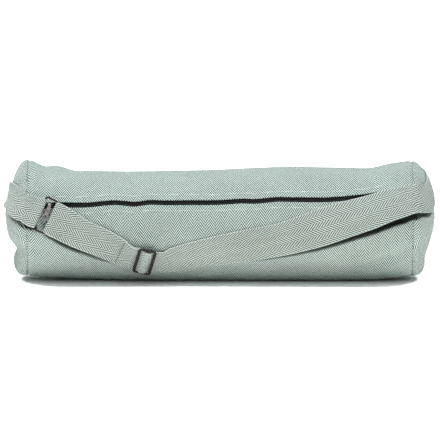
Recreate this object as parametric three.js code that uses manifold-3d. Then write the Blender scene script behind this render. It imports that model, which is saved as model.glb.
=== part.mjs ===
// Yoga mat bag: a round cloth tube with a zip along its front, two swelling end panels, and a carrying
// strap that runs slantwise over the front through a three-bar slider and a rectangular ring.
// Millimetres, +Z up, +X along the bag, front towards -Y, resting on z = 0.
import * as THREE from 'three';
import { mergeVertices } from 'three/addons/utils/BufferGeometryUtils.js';
import Module from 'manifold-3d';

const wasm = await Module();
wasm.setup();

// Bag
const BAG_LENGTH = 668;
const BAG_DIAMETER = 176;
const CLOTH = 2;
const END_SWELL = 34;
const REST_DEPTH = 3;
const SEAM_TURN = 2;
const FIT_GAP = 0.3;

// Zip
const ZIP_START = -0.825;
const ZIP_END = 0.74;
const ZIP_SLOT = 9;
const TAPE_LAP = 7;
const TAPE_THICKNESS = 1;
const COIL_WIDTH = 4;
const COIL_HEIGHT = 1.8;

// Zip slider and its pull
const ZIP_SLIDER_AT = -0.796;
const ZIP_SLIDER_LENGTH = 13;
const ZIP_SLIDER_WIDTH = 7.5;
const ZIP_SLIDER_HEIGHT = 2.4;
const ZIP_SLIDER_WAIST = 5.25;
const ZIP_SLIDER_CORNER = 1;
const BRIDGE_BAR = 1.8;
const BRIDGE_SPAN = 7;
const PULL_LENGTH = 25;
const PULL_END_WIDTH = 11.2;
const PULL_NECK_WIDTH = 5;
const PULL_THICKNESS = 1.4;
const PULL_HOLE = 5.6;
const PULL_LEAN = 26;
const KNUCKLE_WALL = 0.9;
const KNUCKLE_LENGTH = 4.6;

// Straps
const STRAP_WIDTH = 50;
const GATHERED_WIDTH = 41;
const WEBBING = 1.6;
const LAYER_GAP = 0.25;
const SKIN_GAP = 0.5;
const SEWN_REACH = 120;
const FOLD_BACK = 31;
const SIDE_CLEARANCE = 0.4;
const SEWN_MARGIN = 1;
const STEEP_CLIMB = 8;
const RING_CLIMB = 16;
const TAB_CLIMB = 14;
const SLIDER_CLIMB = 12;
const BAR_CREST = 2;
const BAR_DROP = 2.5;
const BAR_RETURN = 1.5;
const UNDER_RUN = 3;

// Ring and strap slider
const RING_AT = -0.82;
const RING_WIRE = 2.4;
const RING_SPAN = 20.5;
const SLIDER_AT = -0.355;
const SLIDER_WIRE = 3.5;
const SLIDER_BAR = 2.6;
const SLIDER_SPAN = 26;
const SLIDER_SLACK = 0.6;
const WIRE_CORNER = 2;
const SEAT_REACH = 8;
const FLAT_REACH = 6;
const FIXED_REACH = 5;

// Girth and lift at stations along the bag, as shares of half its diameter; at is a share of half its length.
const SECTIONS = [
  { at: -0.9, girth: 1.051, lift: 0.091 },
  { at: -0.83, girth: 1.005, lift: 0.074 },
  { at: -0.76, girth: 1.0, lift: 0.055 },
  { at: -0.67, girth: 0.98, lift: 0.04 },
  { at: -0.6, girth: 0.973, lift: 0.03 },
  { at: -0.44, girth: 0.977, lift: 0.014 },
  { at: -0.2, girth: 0.99, lift: 0.004 },
  { at: 0, girth: 1, lift: 0 },
  { at: 0.33, girth: 1.023, lift: 0 },
  { at: 0.52, girth: 1.018, lift: 0 },
  { at: 0.7, girth: 1.013, lift: 0.014 },
  { at: 0.8, girth: 1.032, lift: 0.042 },
  { at: 0.9, girth: 1.036, lift: 0.085 },
];

// Dents of the tube: at and reach are shares of half the length, angle and spread are degrees round it from the
// front, slant turns a dent round the tube in degrees per share, and depth is a share of half the diameter.
const DENTS = [
  { name: 'left top pucker', at: -0.82, reach: 0.028, angle: 92, spread: 42, slant: 0, depth: 0.022 },
  { name: 'left top fold', at: -0.75, reach: 0.07, angle: 80, spread: 12, slant: 60, depth: 0.04 },
  { name: 'left top lobe', at: -0.77, reach: 0.06, angle: 106, spread: 15, slant: 30, depth: -0.016 },
  { name: 'left top valley', at: -0.68, reach: 0.045, angle: 97, spread: 36, slant: 60, depth: 0.026 },
  { name: 'left back pucker', at: -0.76, reach: 0.05, angle: 160, spread: 30, slant: -80, depth: 0.03 },
  { name: 'left low lobe crease', at: -0.86, reach: 0.1, angle: -24, spread: 7, slant: 30, depth: 0.035 },
  { name: 'front left belly', at: -0.5, reach: 0.16, angle: -38, spread: 13, slant: -20, depth: 0.018 },
  { name: 'front low ripple', at: 0.02, reach: 0.2, angle: -46, spread: 9, slant: 12, depth: 0.012 },
  { name: 'right low wrinkle', at: 0.76, reach: 0.14, angle: -38, spread: 9, slant: 95, depth: 0.022 },
  { name: 'right top ease', at: 0.7, reach: 0.05, angle: 98, spread: 40, slant: 30, depth: 0.014 },
  { name: 'back slack', at: 0.3, reach: 0.25, angle: 185, spread: 18, slant: -30, depth: 0.022 },
  { name: 'back left slack', at: -0.35, reach: 0.2, angle: 205, spread: 14, slant: 25, depth: 0.018 },
];

// Dents of the end panels: side is -1 left or 1 right, up and front are shares of the panel's radius from its
// middle, spread and reach their shares up and to the front, and depth is a share of the swell.
const PANEL_DENTS = [
  { name: 'left fold', side: -1, up: -0.5, spread: 0.13, front: 0.1, reach: 0.9, depth: 0.3 },
  { name: 'left hollow', side: -1, up: -0.12, spread: 0.2, front: -0.3, reach: 0.5, depth: 0.08 },
  { name: 'right slack', side: 1, up: -0.5, spread: 0.3, front: 0.1, reach: 0.9, depth: 0.16 },
];

// Where the zip and the strap's middle line run: degrees round the tube from the front at shares of half the length.
const ZIP_ROUTE = [
  { at: -0.83, angle: 23 },
  { at: -0.743, angle: 26 },
  { at: -0.6, angle: 29.8 },
  { at: -0.44, angle: 32 },
  { at: -0.14, angle: 32 },
  { at: 0.2, angle: 32.4 },
  { at: 0.5, angle: 33.2 },
  { at: 0.665, angle: 36.5 },
  { at: 0.76, angle: 38.5 },
];
const STRAP_ROUTE = [
  { at: -0.9, angle: 19.6 },
  { at: -0.82, angle: 13.6 },
  { at: -0.68, angle: 2.8 },
  { at: -0.558, angle: -8.6 },
  { at: -0.44, angle: -20.4 },
  { at: -0.4, angle: -24.9 },
  { at: -0.351, angle: -28.8 },
  { at: -0.3, angle: -30.3 },
  { at: -0.24, angle: -29.7 },
  { at: -0.163, angle: -26.6 },
  { at: 0, angle: -18 },
  { at: 0.2, angle: -10 },
  { at: 0.391, angle: -0.8 },
  { at: 0.605, angle: 12.8 },
  { at: 0.75, angle: 20.6 },
  { at: 0.9, angle: 28 },
];

// How far the strap's lower edge stands off the bag, in shares of the strap's width.
const STAND_OFF = [
  { at: 0.1, off: 0 },
  { at: 0.35, off: 0.03 },
  { at: 0.6, off: 0.08 },
  { at: 0.8, off: 0.12 },
  { at: 0.9, off: 0.09 },
  { at: 0.98, off: 0.02 },
];

// Worked out from the sizes above
const HALF_LENGTH = BAG_LENGTH / 2;
const HALF_DIAMETER = BAG_DIAMETER / 2;
const RIM = HALF_LENGTH - END_SWELL;
const LAYER_STEP = WEBBING + LAYER_GAP;
const FIRST_LAYER = SKIN_GAP + WEBBING / 2;
const SECOND_LAYER = FIRST_LAYER + LAYER_STEP;
const THIRD_LAYER = SECOND_LAYER + LAYER_STEP;
const RING_LOOP = RING_WIRE / 2 + FIT_GAP + WEBBING / 2;
const RING_HEIGHT = FIRST_LAYER + RING_LOOP;
const SLIDER_LOOP = SLIDER_BAR / 2 + FIT_GAP + WEBBING / 2;
const SLIDER_HEIGHT = THIRD_LAYER + WEBBING / 2 + FIT_GAP + SLIDER_WIRE / 2 + SLIDER_SLACK;
const GATHER_FADE = 1.2 * STRAP_WIDTH;
const SHOULDER_REACH = 0.6 * STRAP_WIDTH;
const LONG_STEP = 0.32 * STRAP_WIDTH;
const SHORT_STEP = 0.1 * STRAP_WIDTH;
const COIL_INSET = CLOTH - COIL_HEIGHT;
const ZIP_SLIDER_BASE = FIT_GAP - Math.min(COIL_INSET, 0);
const KNUCKLE_RADIUS = BRIDGE_BAR / 2 + FIT_GAP + KNUCKLE_WALL;
const PIVOT_HEIGHT = ZIP_SLIDER_BASE + ZIP_SLIDER_HEIGHT + FIT_GAP + KNUCKLE_RADIUS;

// How finely the cloth is divided
const LEFT_CELLS = 2;
const SLOT_CELLS = 23;
const RIGHT_CELLS = 4;
const ROUND_CELLS = 34;
const SHOULDER_CELLS = 1;
const PANEL_RINGS = 7;
const STRAP_CELLS = 4;
const ROUTE_STEP = 2.5;
const RIM_STRETCH = 12;
const FRAME_REACH = 5;
const CLIMB_STEP = 4;
const CREST_STEP = 2.4;
const BAR_STEP = 2;
const WIRE_SIDES = 8;
const CORNER_CELLS = 3;
const BAR_SIDES = 10;
const BEND_CELLS = 6;
const PANEL_CROWDING = 1.25;
const SLOT_CROWDING = 1.2;

const radians = THREE.MathUtils.degToRad;
const lerp = THREE.MathUtils.lerp;
const smooth = (t) => THREE.MathUtils.smoothstep(t, 0, 1);
const bell = (t) => Math.exp(-t * t);

// A table's column at a place between its rows, on a smooth curve through them.
function tableValue(table, column, at) {
  const last = table.length - 1;
  if (at <= table[0].at) return table[0][column];
  if (at >= table[last].at) return table[last][column];
  const i = table.findIndex((row) => row.at > at) - 1;
  const slope = (k) => {
    const before = table[Math.max(k - 1, 0)];
    const after = table[Math.min(k + 1, last)];
    return (after[column] - before[column]) / (after.at - before.at);
  };
  const span = table[i + 1].at - table[i].at;
  const t = (at - table[i].at) / span;
  const rise = smooth(t);
  const leave = t * (1 - t) * (1 - t) * span * slope(i);
  const arrive = t * t * (1 - t) * span * slope(i + 1);
  return lerp(table[i][column], table[i + 1][column], rise) + leave - arrive;
}

// Shape of the bag
function centreHeight(x) {
  const at = THREE.MathUtils.clamp(x, -RIM, RIM) / HALF_LENGTH;
  const share = tableValue(SECTIONS, 'girth', at) + tableValue(SECTIONS, 'lift', at);
  return HALF_DIAMETER * share - REST_DEPTH;
}

function tubeRadius(x, angle) {
  const at = THREE.MathUtils.clamp(x, -RIM, RIM) / HALF_LENGTH;
  let share = tableValue(SECTIONS, 'girth', at);
  for (const dent of DENTS) {
    const along = at - dent.at;
    const aside = angle - radians(dent.angle + dent.slant * along);
    const around = Math.atan2(Math.sin(aside), Math.cos(aside)) / radians(dent.spread);
    share -= dent.depth * bell(along / dent.reach) * bell(around);
  }
  return HALF_DIAMETER * share;
}

// A point of the tube, inset from its outer face; the floor flattens what would reach below it.
function tubePoint(x, angle, inset) {
  const radius = tubeRadius(x, angle) - inset;
  const height = centreHeight(x) + radius * Math.sin(angle);
  return new THREE.Vector3(x, -radius * Math.cos(angle), Math.max(height, inset));
}

// A point of an end: turn is 0 at the rim and a quarter turn at the panel's middle.
function endPoint(side, turn, angle, inset) {
  const rim = tubeRadius(side * RIM, angle) - inset;
  const radius = rim * Math.cos(turn);
  const up = (radius * Math.sin(angle)) / rim;
  const front = (radius * Math.cos(angle)) / rim;
  let swell = (END_SWELL - inset) * Math.sin(turn);
  for (const dent of PANEL_DENTS.filter((row) => row.side === side)) {
    const share = bell((up - dent.up) / dent.spread) * bell((front - dent.front) / dent.reach);
    swell -= END_SWELL * dent.depth * share * Math.sin(turn);
  }
  const height = centreHeight(side * RIM) + radius * Math.sin(angle);
  return new THREE.Vector3(side * (RIM + swell), -radius * Math.cos(angle), Math.max(height, inset));
}

// Where a point lies against the bag: its angle round it, its turn over the end, and 1 for a level on the skin.
function skinPlace(point) {
  const rise = point.z - centreHeight(point.x);
  const angle = Math.atan2(rise, -point.y);
  const across = Math.hypot(point.y, rise) / tubeRadius(point.x, angle);
  const out = Math.max(Math.abs(point.x) - RIM, 0) / END_SWELL;
  return { angle, turn: Math.atan2(out, across), level: Math.hypot(across, out) };
}

function ontoSkin(point) {
  const place = skinPlace(point);
  if (Math.abs(point.x) <= RIM) return tubePoint(point.x, place.angle, 0);
  return endPoint(Math.sign(point.x), place.turn, place.angle, 0);
}

function skinNormal(point) {
  const slope = (x, y, z) => {
    const step = new THREE.Vector3(x, y, z);
    return skinPlace(point.clone().add(step)).level - skinPlace(point.clone().sub(step)).level;
  };
  return new THREE.Vector3(slope(1, 0, 0), slope(0, 1, 0), slope(0, 0, 1)).normalize();
}

// Surfaces
function geometryOf(corners, faces) {
  const geometry = new THREE.BufferGeometry();
  geometry.setAttribute('position', new THREE.Float32BufferAttribute(corners, 3));
  geometry.setIndex(faces);
  geometry.computeVertexNormals();
  return geometry;
}

// A wall of cloth between two grids of points. Each open side of the grid, and each side of a cell that is cut out,
// is closed by a strip from the outer grid to the inner one. A pole is a row that is one point.
function clothWall({ rows, columns, outer, inner, round = false, isCut = () => false, pole = -1 }) {
  const corners = [];
  const faces = [];
  const width = round ? columns : columns + 1;
  const grids = [outer, inner].map((pointAt) =>
    Array.from({ length: rows + 1 }, (_, j) => {
      const ring = [];
      for (let i = 0; i < width; i++) {
        if (j !== pole || i === 0) corners.push(...pointAt(j, i).toArray());
        ring.push(corners.length / 3 - 1);
      }
      return ring;
    }),
  );
  const corner = (layer, j, i) => grids[layer][j][round ? (i + width) % width : i];
  const triangle = (a, b, c) => {
    if (a !== b && b !== c && c !== a) faces.push(a, b, c);
  };
  const quad = (a, b, c, d) => {
    triangle(a, b, c);
    triangle(a, c, d);
  };
  const isCloth = (j, i) => {
    if (j < 0 || j >= rows) return false;
    if (!round && (i < 0 || i >= columns)) return false;
    return !isCut(j, round ? (i + columns) % columns : i);
  };
  for (let j = 0; j < rows; j++) {
    for (let i = 0; i < columns; i++) {
      if (!isCloth(j, i)) continue;
      const loop = [[j, i], [j + 1, i], [j + 1, i + 1], [j, i + 1]];
      const beyond = [[j, i - 1], [j + 1, i], [j, i + 1], [j - 1, i]];
      const out = loop.map(([row, column]) => corner(0, row, column));
      const back = loop.map(([row, column]) => corner(1, row, column));
      quad(out[0], out[1], out[2], out[3]);
      quad(back[3], back[2], back[1], back[0]);
      beyond.forEach(([row, column], k) => {
        const next = (k + 1) % 4;
        const isPole = loop[k][0] === pole && loop[next][0] === pole;
        if (!isCloth(row, column) && !isPole) quad(out[next], out[k], back[k], back[next]);
      });
    }
  }
  return geometryOf(corners, faces);
}

// A round wire along a closed flat path of points and outward directions.
function closedWire(path, radius) {
  const corners = [];
  const faces = [];
  for (const { x, y, outX, outY } of path) {
    for (let k = 0; k < WIRE_SIDES; k++) {
      const turn = (2 * Math.PI * k) / WIRE_SIDES;
      const out = radius * Math.cos(turn);
      corners.push(x + outX * out, y + outY * out, radius * Math.sin(turn));
    }
  }
  for (let j = 0; j < path.length; j++) {
    for (let k = 0; k < WIRE_SIDES; k++) {
      const a = j * WIRE_SIDES + k;
      const b = j * WIRE_SIDES + ((k + 1) % WIRE_SIDES);
      const shift = (((j + 1) % path.length) - j) * WIRE_SIDES;
      faces.push(a, a + shift, b + shift, a, b + shift, b);
    }
  }
  return geometryOf(corners, faces);
}

// The middle line of a rectangle of wire with round corners, centred, counterclockwise.
function roundedRectangle(length, width, corner) {
  const path = [];
  const corners = [[1, -1], [1, 1], [-1, 1], [-1, -1]];
  corners.forEach(([sideX, sideY], k) => {
    for (let step = 0; step <= CORNER_CELLS; step++) {
      const turn = (Math.PI / 2) * (k - 1 + step / CORNER_CELLS);
      const [outX, outY] = [Math.cos(turn), Math.sin(turn)];
      const x = sideX * (length / 2 - corner) + corner * outX;
      const y = sideY * (width / 2 - corner) + corner * outY;
      path.push({ x, y, outX, outY });
    }
  });
  return path;
}

function solidOf(geometry) {
  const bare = geometry.index ? geometry.clone() : geometry;
  bare.deleteAttribute('normal');
  bare.deleteAttribute('uv');
  const merged = mergeVertices(bare, 1e-4);
  return new wasm.Manifold(
    new wasm.Mesh({
      numProp: 3,
      vertProperties: merged.attributes.position.array,
      triVerts: new Uint32Array(merged.index.array),
    }),
  );
}

function joined(...geometries) {
  const [first, ...others] = geometries.map(solidOf);
  const mesh = others.reduce((sum, other) => sum.add(other), first).getMesh();
  return geometryOf(Array.from(mesh.vertProperties), Array.from(mesh.triVerts));
}

// The strap's way over the bag: points on the skin with their distance from the ring's middle.
function strapWay() {
  const onTube = (x) => tubePoint(x, radians(tableValue(STRAP_ROUTE, 'angle', x / HALF_LENGTH)), 0);
  const count = Math.round((2 * RIM) / ROUTE_STEP);
  const points = Array.from({ length: count + 1 }, (_, k) => onTube(lerp(-RIM, RIM, k / count)));
  // Past a rim the strap keeps its slope and crosses the end panel in a straight line seen from the end.
  for (const side of [-1, 1]) {
    const rim = onTube(side * RIM);
    const inner = onTube(side * (RIM - 2 * ROUTE_STEP));
    const centre = new THREE.Vector2(0, centreHeight(side * RIM));
    const start = new THREE.Vector2(rim.y, rim.z).sub(centre);
    const inward = start.clone().normalize().negate();
    const drift = new THREE.Vector2(rim.y - inner.y, rim.z - inner.z);
    const heading = inward.clone().multiplyScalar(2 * ROUTE_STEP).add(drift).normalize();
    const beyond = [];
    const stepAt = (reach) => (reach < RIM_STRETCH ? ROUTE_STEP / 4 : ROUTE_STEP);
    for (let reach = stepAt(0); reach < SEWN_REACH; reach += stepAt(reach)) {
      const at = start.clone().addScaledVector(heading, reach);
      const angle = Math.atan2(at.y, -at.x);
      const across = Math.min(at.length() / tubeRadius(side * RIM, angle), 1);
      beyond.push(endPoint(side, Math.acos(across), angle, 0));
    }
    if (side < 0) points.unshift(...beyond.reverse());
    else points.push(...beyond);
  }
  const way = [{ point: points[0], distance: 0 }];
  for (let k = 1; k < points.length; k++) {
    const distance = way[k - 1].distance + points[k].distanceTo(points[k - 1]);
    way.push({ point: points[k], distance });
  }
  const distanceAt = (x) => way.find((step) => step.point.x >= x).distance;
  const start = distanceAt(RING_AT * HALF_LENGTH);
  const slider = distanceAt(SLIDER_AT * HALF_LENGTH) - start;
  way.forEach((step) => (step.distance -= start));
  return { way, slider, first: way[0].distance, last: way[way.length - 1].distance };
}

const strap = strapWay();

function wayPoint(q) {
  const way = strap.way;
  let low = 0;
  let high = way.length - 1;
  while (high - low > 1) {
    const middle = (low + high) >> 1;
    if (way[middle].distance > q) high = middle;
    else low = middle;
  }
  const share = (q - way[low].distance) / (way[high].distance - way[low].distance);
  return way[low].point.clone().lerp(way[high].point, THREE.MathUtils.clamp(share, 0, 1));
}

// The strap's own frame at a place on its way: along it, across it towards its upper edge, and up off the bag.
function wayFrame(q) {
  const from = wayPoint(Math.max(q - FRAME_REACH, strap.first));
  const to = wayPoint(Math.min(q + FRAME_REACH, strap.last));
  const origin = ontoSkin(wayPoint(q));
  const up = skinNormal(origin);
  const across = new THREE.Vector3().crossVectors(up, to.sub(from)).normalize();
  const along = new THREE.Vector3().crossVectors(across, up);
  return { origin, along, across, up };
}

// A fitting's frame is raised until the bag is nowhere above its plane under the fitting.
function seatedFrame(q, reach) {
  const frame = wayFrame(q);
  let rise = 0;
  for (const along of [-1, -0.5, 0, 0.5, 1]) {
    for (const across of [-0.5, -0.25, 0, 0.25, 0.5]) {
      const place = inFrame(frame, along * reach, across * STRAP_WIDTH, 0);
      rise = Math.max(rise, ontoSkin(place).sub(frame.origin).dot(frame.up));
    }
  }
  frame.origin.addScaledVector(frame.up, rise);
  return frame;
}

function inFrame(frame, along, across, up) {
  return frame.origin
    .clone()
    .addScaledVector(frame.along, along)
    .addScaledVector(frame.across, across)
    .addScaledVector(frame.up, up);
}

const RING_FRAME = seatedFrame(0, RING_SPAN / 2 + SEAT_REACH);
const SLIDER_FRAME = seatedFrame(strap.slider, SLIDER_SPAN / 2 + SEAT_REACH);

// A point pushed off the bag to a least height over it.
function clearOfBag(point, height) {
  const base = ontoSkin(point);
  const normal = skinNormal(base);
  const above = point.clone().sub(base).dot(normal);
  return above < height ? point.addScaledVector(normal, height - above) : point;
}

// 1 within reach of a fitting, falling to 0 over the fade beyond it.
const nearness = (distance, reach, fade) => 1 - smooth((Math.abs(distance) - reach) / fade);

// A point of a strap: q along its way, height off the skin, aside from its middle line. It follows the skin, lies
// flat across near a fitting, and keeps to the fitting's own plane inside it.
function strapPoint(q, height, aside) {
  const frame = wayFrame(q);
  const fromSlider = q - strap.slider;
  const gather = nearness(fromSlider, SLIDER_SPAN / 2, GATHER_FADE);
  const side = aside * lerp(1, GATHERED_WIDTH / STRAP_WIDTH, gather);
  const edge = 0.5 - side / STRAP_WIDTH;
  const off = STRAP_WIDTH * tableValue(STAND_OFF, 'off', frame.origin.x / HALF_LENGTH) * edge;
  const flat = inFrame(frame, 0, side, height);
  const base = ontoSkin(inFrame(frame, 0, side, 0));
  const followed = base.clone().addScaledVector(skinNormal(base), height + off);
  const nearRing = nearness(q, RING_SPAN / 2 + FLAT_REACH, STRAP_WIDTH);
  const nearSlider = nearness(fromSlider, SLIDER_SPAN / 2 + FLAT_REACH, STRAP_WIDTH);
  const point = followed.lerp(flat, Math.max(nearRing, nearSlider));
  const atRing = inFrame(RING_FRAME, q, side, height);
  const atSlider = inFrame(SLIDER_FRAME, fromSlider, side, height);
  point
    .lerp(atRing, nearness(q, RING_SPAN / 2 + FIXED_REACH, STRAP_WIDTH / 2))
    .lerp(atSlider, nearness(fromSlider, SLIDER_SPAN / 2 + FIXED_REACH, STRAP_WIDTH / 2));
  return clearOfBag(point, height);
}

// A strap's side view is a path of points that runs along it, q, and off the bag, height.
function run(path, q, height, step) {
  const last = path[path.length - 1];
  const count = Math.ceil(Math.abs(q - last.q) / step);
  for (let k = 1; k <= count; k++) {
    const share = k / count;
    path.push({ q: lerp(last.q, q, share), height: lerp(last.height, height, smooth(share)) });
  }
}

function bend(path, q, height, radius, fromTurn, toTurn) {
  for (let k = 1; k < BEND_CELLS; k++) {
    const turn = radians(lerp(fromTurn, toTurn, k / BEND_CELLS));
    path.push({ q: q + radius * Math.cos(turn), height: height + radius * Math.sin(turn) });
  }
  const turn = radians(toTurn);
  path.push({ q: q + radius * Math.cos(turn), height: height + radius * Math.sin(turn) });
}

// Over the bag's shoulders the steps along a strap are short.
function overShoulder(path, toQ, rimQ, height) {
  const fromQ = path[path.length - 1].q;
  const reach = SHOULDER_REACH * Math.sign(toQ - fromQ);
  const within = (q) => THREE.MathUtils.clamp(q, Math.min(fromQ, toQ), Math.max(fromQ, toQ));
  run(path, within(rimQ - reach), height, LONG_STEP);
  run(path, within(rimQ + reach), height, SHORT_STEP);
  run(path, toQ, height, LONG_STEP);
}

const rimDistance = (side) => {
  const beyond = strap.way.filter((step) => side * step.point.x > RIM);
  return (side < 0 ? beyond[beyond.length - 1] : beyond[0]).distance;
};

// Sewn on the right panel, over the front, through the slider, round the ring and back to the slider's middle bar.
function strapPath() {
  const bar = SLIDER_SPAN / 2;
  const middle = strap.slider;
  const ringBar = RING_SPAN / 2;
  const loopBottom = SLIDER_HEIGHT - SLIDER_LOOP;
  const loopTop = SLIDER_HEIGHT + SLIDER_LOOP;
  const foldEnd = middle - bar - FOLD_BACK;
  const path = [{ q: strap.last - SEWN_MARGIN, height: FIRST_LAYER }];
  overShoulder(path, middle + bar + SLIDER_CLIMB, rimDistance(1), FIRST_LAYER);
  run(path, middle + bar, SECOND_LAYER, CLIMB_STEP);
  run(path, middle + BAR_CREST, loopTop + LAYER_STEP, CREST_STEP);
  run(path, middle - BAR_DROP, loopTop + LAYER_STEP, CREST_STEP);
  run(path, middle - bar, THIRD_LAYER, BAR_STEP);
  run(path, foldEnd - SEWN_MARGIN, THIRD_LAYER, LONG_STEP);
  run(path, foldEnd - SEWN_MARGIN - STEEP_CLIMB, SECOND_LAYER, CLIMB_STEP);
  run(path, ringBar + RING_CLIMB, SECOND_LAYER, LONG_STEP);
  run(path, ringBar, FIRST_LAYER + 2 * RING_LOOP, CLIMB_STEP);
  bend(path, ringBar, RING_HEIGHT, RING_LOOP, 90, 270);
  run(path, ringBar + RING_CLIMB, FIRST_LAYER, RING_CLIMB / 2);
  run(path, middle - bar + UNDER_RUN, FIRST_LAYER, LONG_STEP);
  run(path, middle, loopBottom, BAR_STEP);
  bend(path, middle, SLIDER_HEIGHT, SLIDER_LOOP, -90, 90);
  run(path, middle - bar + BAR_RETURN, SECOND_LAYER, BAR_STEP);
  run(path, foldEnd, SECOND_LAYER, LONG_STEP);
  return path;
}

// Sewn on the left panel, round the ring's left bar and back beneath itself.
function tabPath() {
  const ringBar = -RING_SPAN / 2;
  const sewn = strap.first + SEWN_MARGIN;
  const path = [{ q: sewn, height: SECOND_LAYER }];
  overShoulder(path, ringBar - TAB_CLIMB, rimDistance(-1), SECOND_LAYER);
  run(path, ringBar, FIRST_LAYER + 2 * RING_LOOP, CLIMB_STEP);
  bend(path, ringBar, RING_HEIGHT, RING_LOOP, 90, -90);
  run(path, ringBar - TAB_CLIMB, FIRST_LAYER, TAB_CLIMB / 2);
  overShoulder(path, sewn, rimDistance(-1), FIRST_LAYER);
  return path;
}

// Webbing whose side view is a path: its thickness stands square to the path on both sides.
function webbing(path) {
  const face = (offset) => (j, i) => {
    const before = path[Math.max(j - 1, 0)];
    const after = path[Math.min(j + 1, path.length - 1)];
    const length = Math.hypot(after.q - before.q, after.height - before.height);
    const q = path[j].q - ((after.height - before.height) / length) * offset;
    const height = path[j].height + ((after.q - before.q) / length) * offset;
    return strapPoint(q, height, STRAP_WIDTH * (i / STRAP_CELLS - 0.5));
  };
  const rows = path.length - 1;
  return clothWall({ rows, columns: STRAP_CELLS, outer: face(WEBBING / 2), inner: face(-WEBBING / 2) });
}

// The bag's cloth
const zipAngle = (x) => radians(tableValue(ZIP_ROUTE, 'angle', x / HALF_LENGTH));

// Lines of the grid round the bag: the slot's upper edge, the upper tape's edge, even steps round the bag to the
// lower tape's edge, and the slot's lower edge.
function roundAngle(x, i) {
  const radius = tubeRadius(x, zipAngle(x));
  const edge = ZIP_SLOT / 2 / radius;
  const lap = (ZIP_SLOT / 2 + TAPE_LAP) / radius;
  if (i === 0) return zipAngle(x) + edge;
  if (i === ROUND_CELLS - 1) return zipAngle(x) - edge;
  return zipAngle(x) + lap + ((i - 1) / (ROUND_CELLS - 3)) * (2 * Math.PI - 2 * lap);
}

// Places along the bag: short cells by the ends, and the slot's own stretch between them.
const slotStart = ZIP_START * HALF_LENGTH;
const slotEnd = ZIP_END * HALF_LENGTH;
const slotPlaces = Array.from({ length: SLOT_CELLS + 1 }, (_, k) =>
  lerp(slotStart, slotEnd, (k / SLOT_CELLS) ** SLOT_CROWDING),
);
const tubePlaces = [
  ...Array.from({ length: LEFT_CELLS }, (_, k) => lerp(-RIM, slotStart, k / LEFT_CELLS)),
  ...slotPlaces,
  ...Array.from({ length: RIGHT_CELLS }, (_, k) => lerp(slotEnd, RIM, (k + 1) / RIGHT_CELLS)),
];

function bodyGeometry() {
  const tubeCells = tubePlaces.length - 1;
  const rows = tubeCells + 2 * SHOULDER_CELLS;
  const place = (j) => {
    const x = tubePlaces[THREE.MathUtils.clamp(j - SHOULDER_CELLS, 0, tubeCells)];
    const over = Math.max(SHOULDER_CELLS - j, j - SHOULDER_CELLS - tubeCells, 0);
    return { x, turn: radians((SEAM_TURN * over) / SHOULDER_CELLS) };
  };
  const pointAt = (inset) => (j, i) => {
    const { x, turn } = place(j);
    const angle = roundAngle(x, i);
    return turn > 0 ? endPoint(Math.sign(x), turn, angle, inset) : tubePoint(x, angle, inset);
  };
  const isCut = (j, i) => i === ROUND_CELLS - 1 && place(j).x >= slotStart && place(j + 1).x <= slotEnd;
  return clothWall({ rows, columns: ROUND_CELLS, outer: pointAt(0), inner: pointAt(CLOTH), round: true, isCut });
}

function panelGeometry(side) {
  const seam = radians(SEAM_TURN) + FIT_GAP / END_SWELL;
  const pointAt = (inset) => (j, i) => {
    const ring = side < 0 ? PANEL_RINGS - j : j;
    const turn = lerp(seam, Math.PI / 2, (ring / PANEL_RINGS) ** PANEL_CROWDING);
    return endPoint(side, turn, roundAngle(side * RIM, i), inset);
  };
  const pole = side < 0 ? 0 : PANEL_RINGS;
  const [outer, inner] = [pointAt(0), pointAt(CLOTH)];
  return clothWall({ rows: PANEL_RINGS, columns: ROUND_CELLS, outer, inner, round: true, pole });
}

// A band that follows the zip: aside in millimetres from its middle, at depths under the cloth's outer face.
function zipBand(places, asides, tops, bottom) {
  const face = (insets) => (j, i) => {
    const x = places[j];
    const angle = zipAngle(x);
    return tubePoint(x, angle + asides[i] / tubeRadius(x, angle), insets[i]);
  };
  const columns = asides.length - 1;
  const inner = face(asides.map(() => bottom));
  return clothWall({ rows: places.length - 1, columns, outer: face(tops), inner });
}

function tapeGeometry(side) {
  const places = [slotStart - TAPE_LAP, ...slotPlaces, slotEnd + TAPE_LAP];
  const asides = [FIT_GAP / 2, ZIP_SLOT / 2, ZIP_SLOT / 2 + TAPE_LAP].map((aside) => side * aside);
  const top = CLOTH + FIT_GAP;
  return zipBand(places, asides.sort((a, b) => a - b), [top, top, top], top + TAPE_THICKNESS);
}

function coilGeometry() {
  const half = COIL_WIDTH / 2;
  const shoulder = COIL_INSET + COIL_HEIGHT / 3;
  const places = [slotStart + FIT_GAP, ...slotPlaces.slice(1, -1), slotEnd - FIT_GAP];
  return zipBand(places, [-half, -half / 3, half / 3, half], [shoulder, COIL_INSET, COIL_INSET, shoulder], CLOTH);
}

// Zip slider: a plate over the coil with a low bridge whose bar runs along the zip.
const lying = (geometry) => geometry.rotateZ(Math.PI / 2);

function plateShape(length, width, waist, corner) {
  const shape = new THREE.Shape();
  shape.moveTo(-length / 2, -waist / 2);
  shape.quadraticCurveTo(-length / 6, -width / 2, length / 2 - corner, -width / 2);
  shape.lineTo(length / 2, -width / 2 + corner);
  shape.lineTo(length / 2, width / 2 - corner);
  shape.lineTo(length / 2 - corner, width / 2);
  shape.quadraticCurveTo(-length / 6, width / 2, -length / 2, waist / 2);
  return shape;
}

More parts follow.
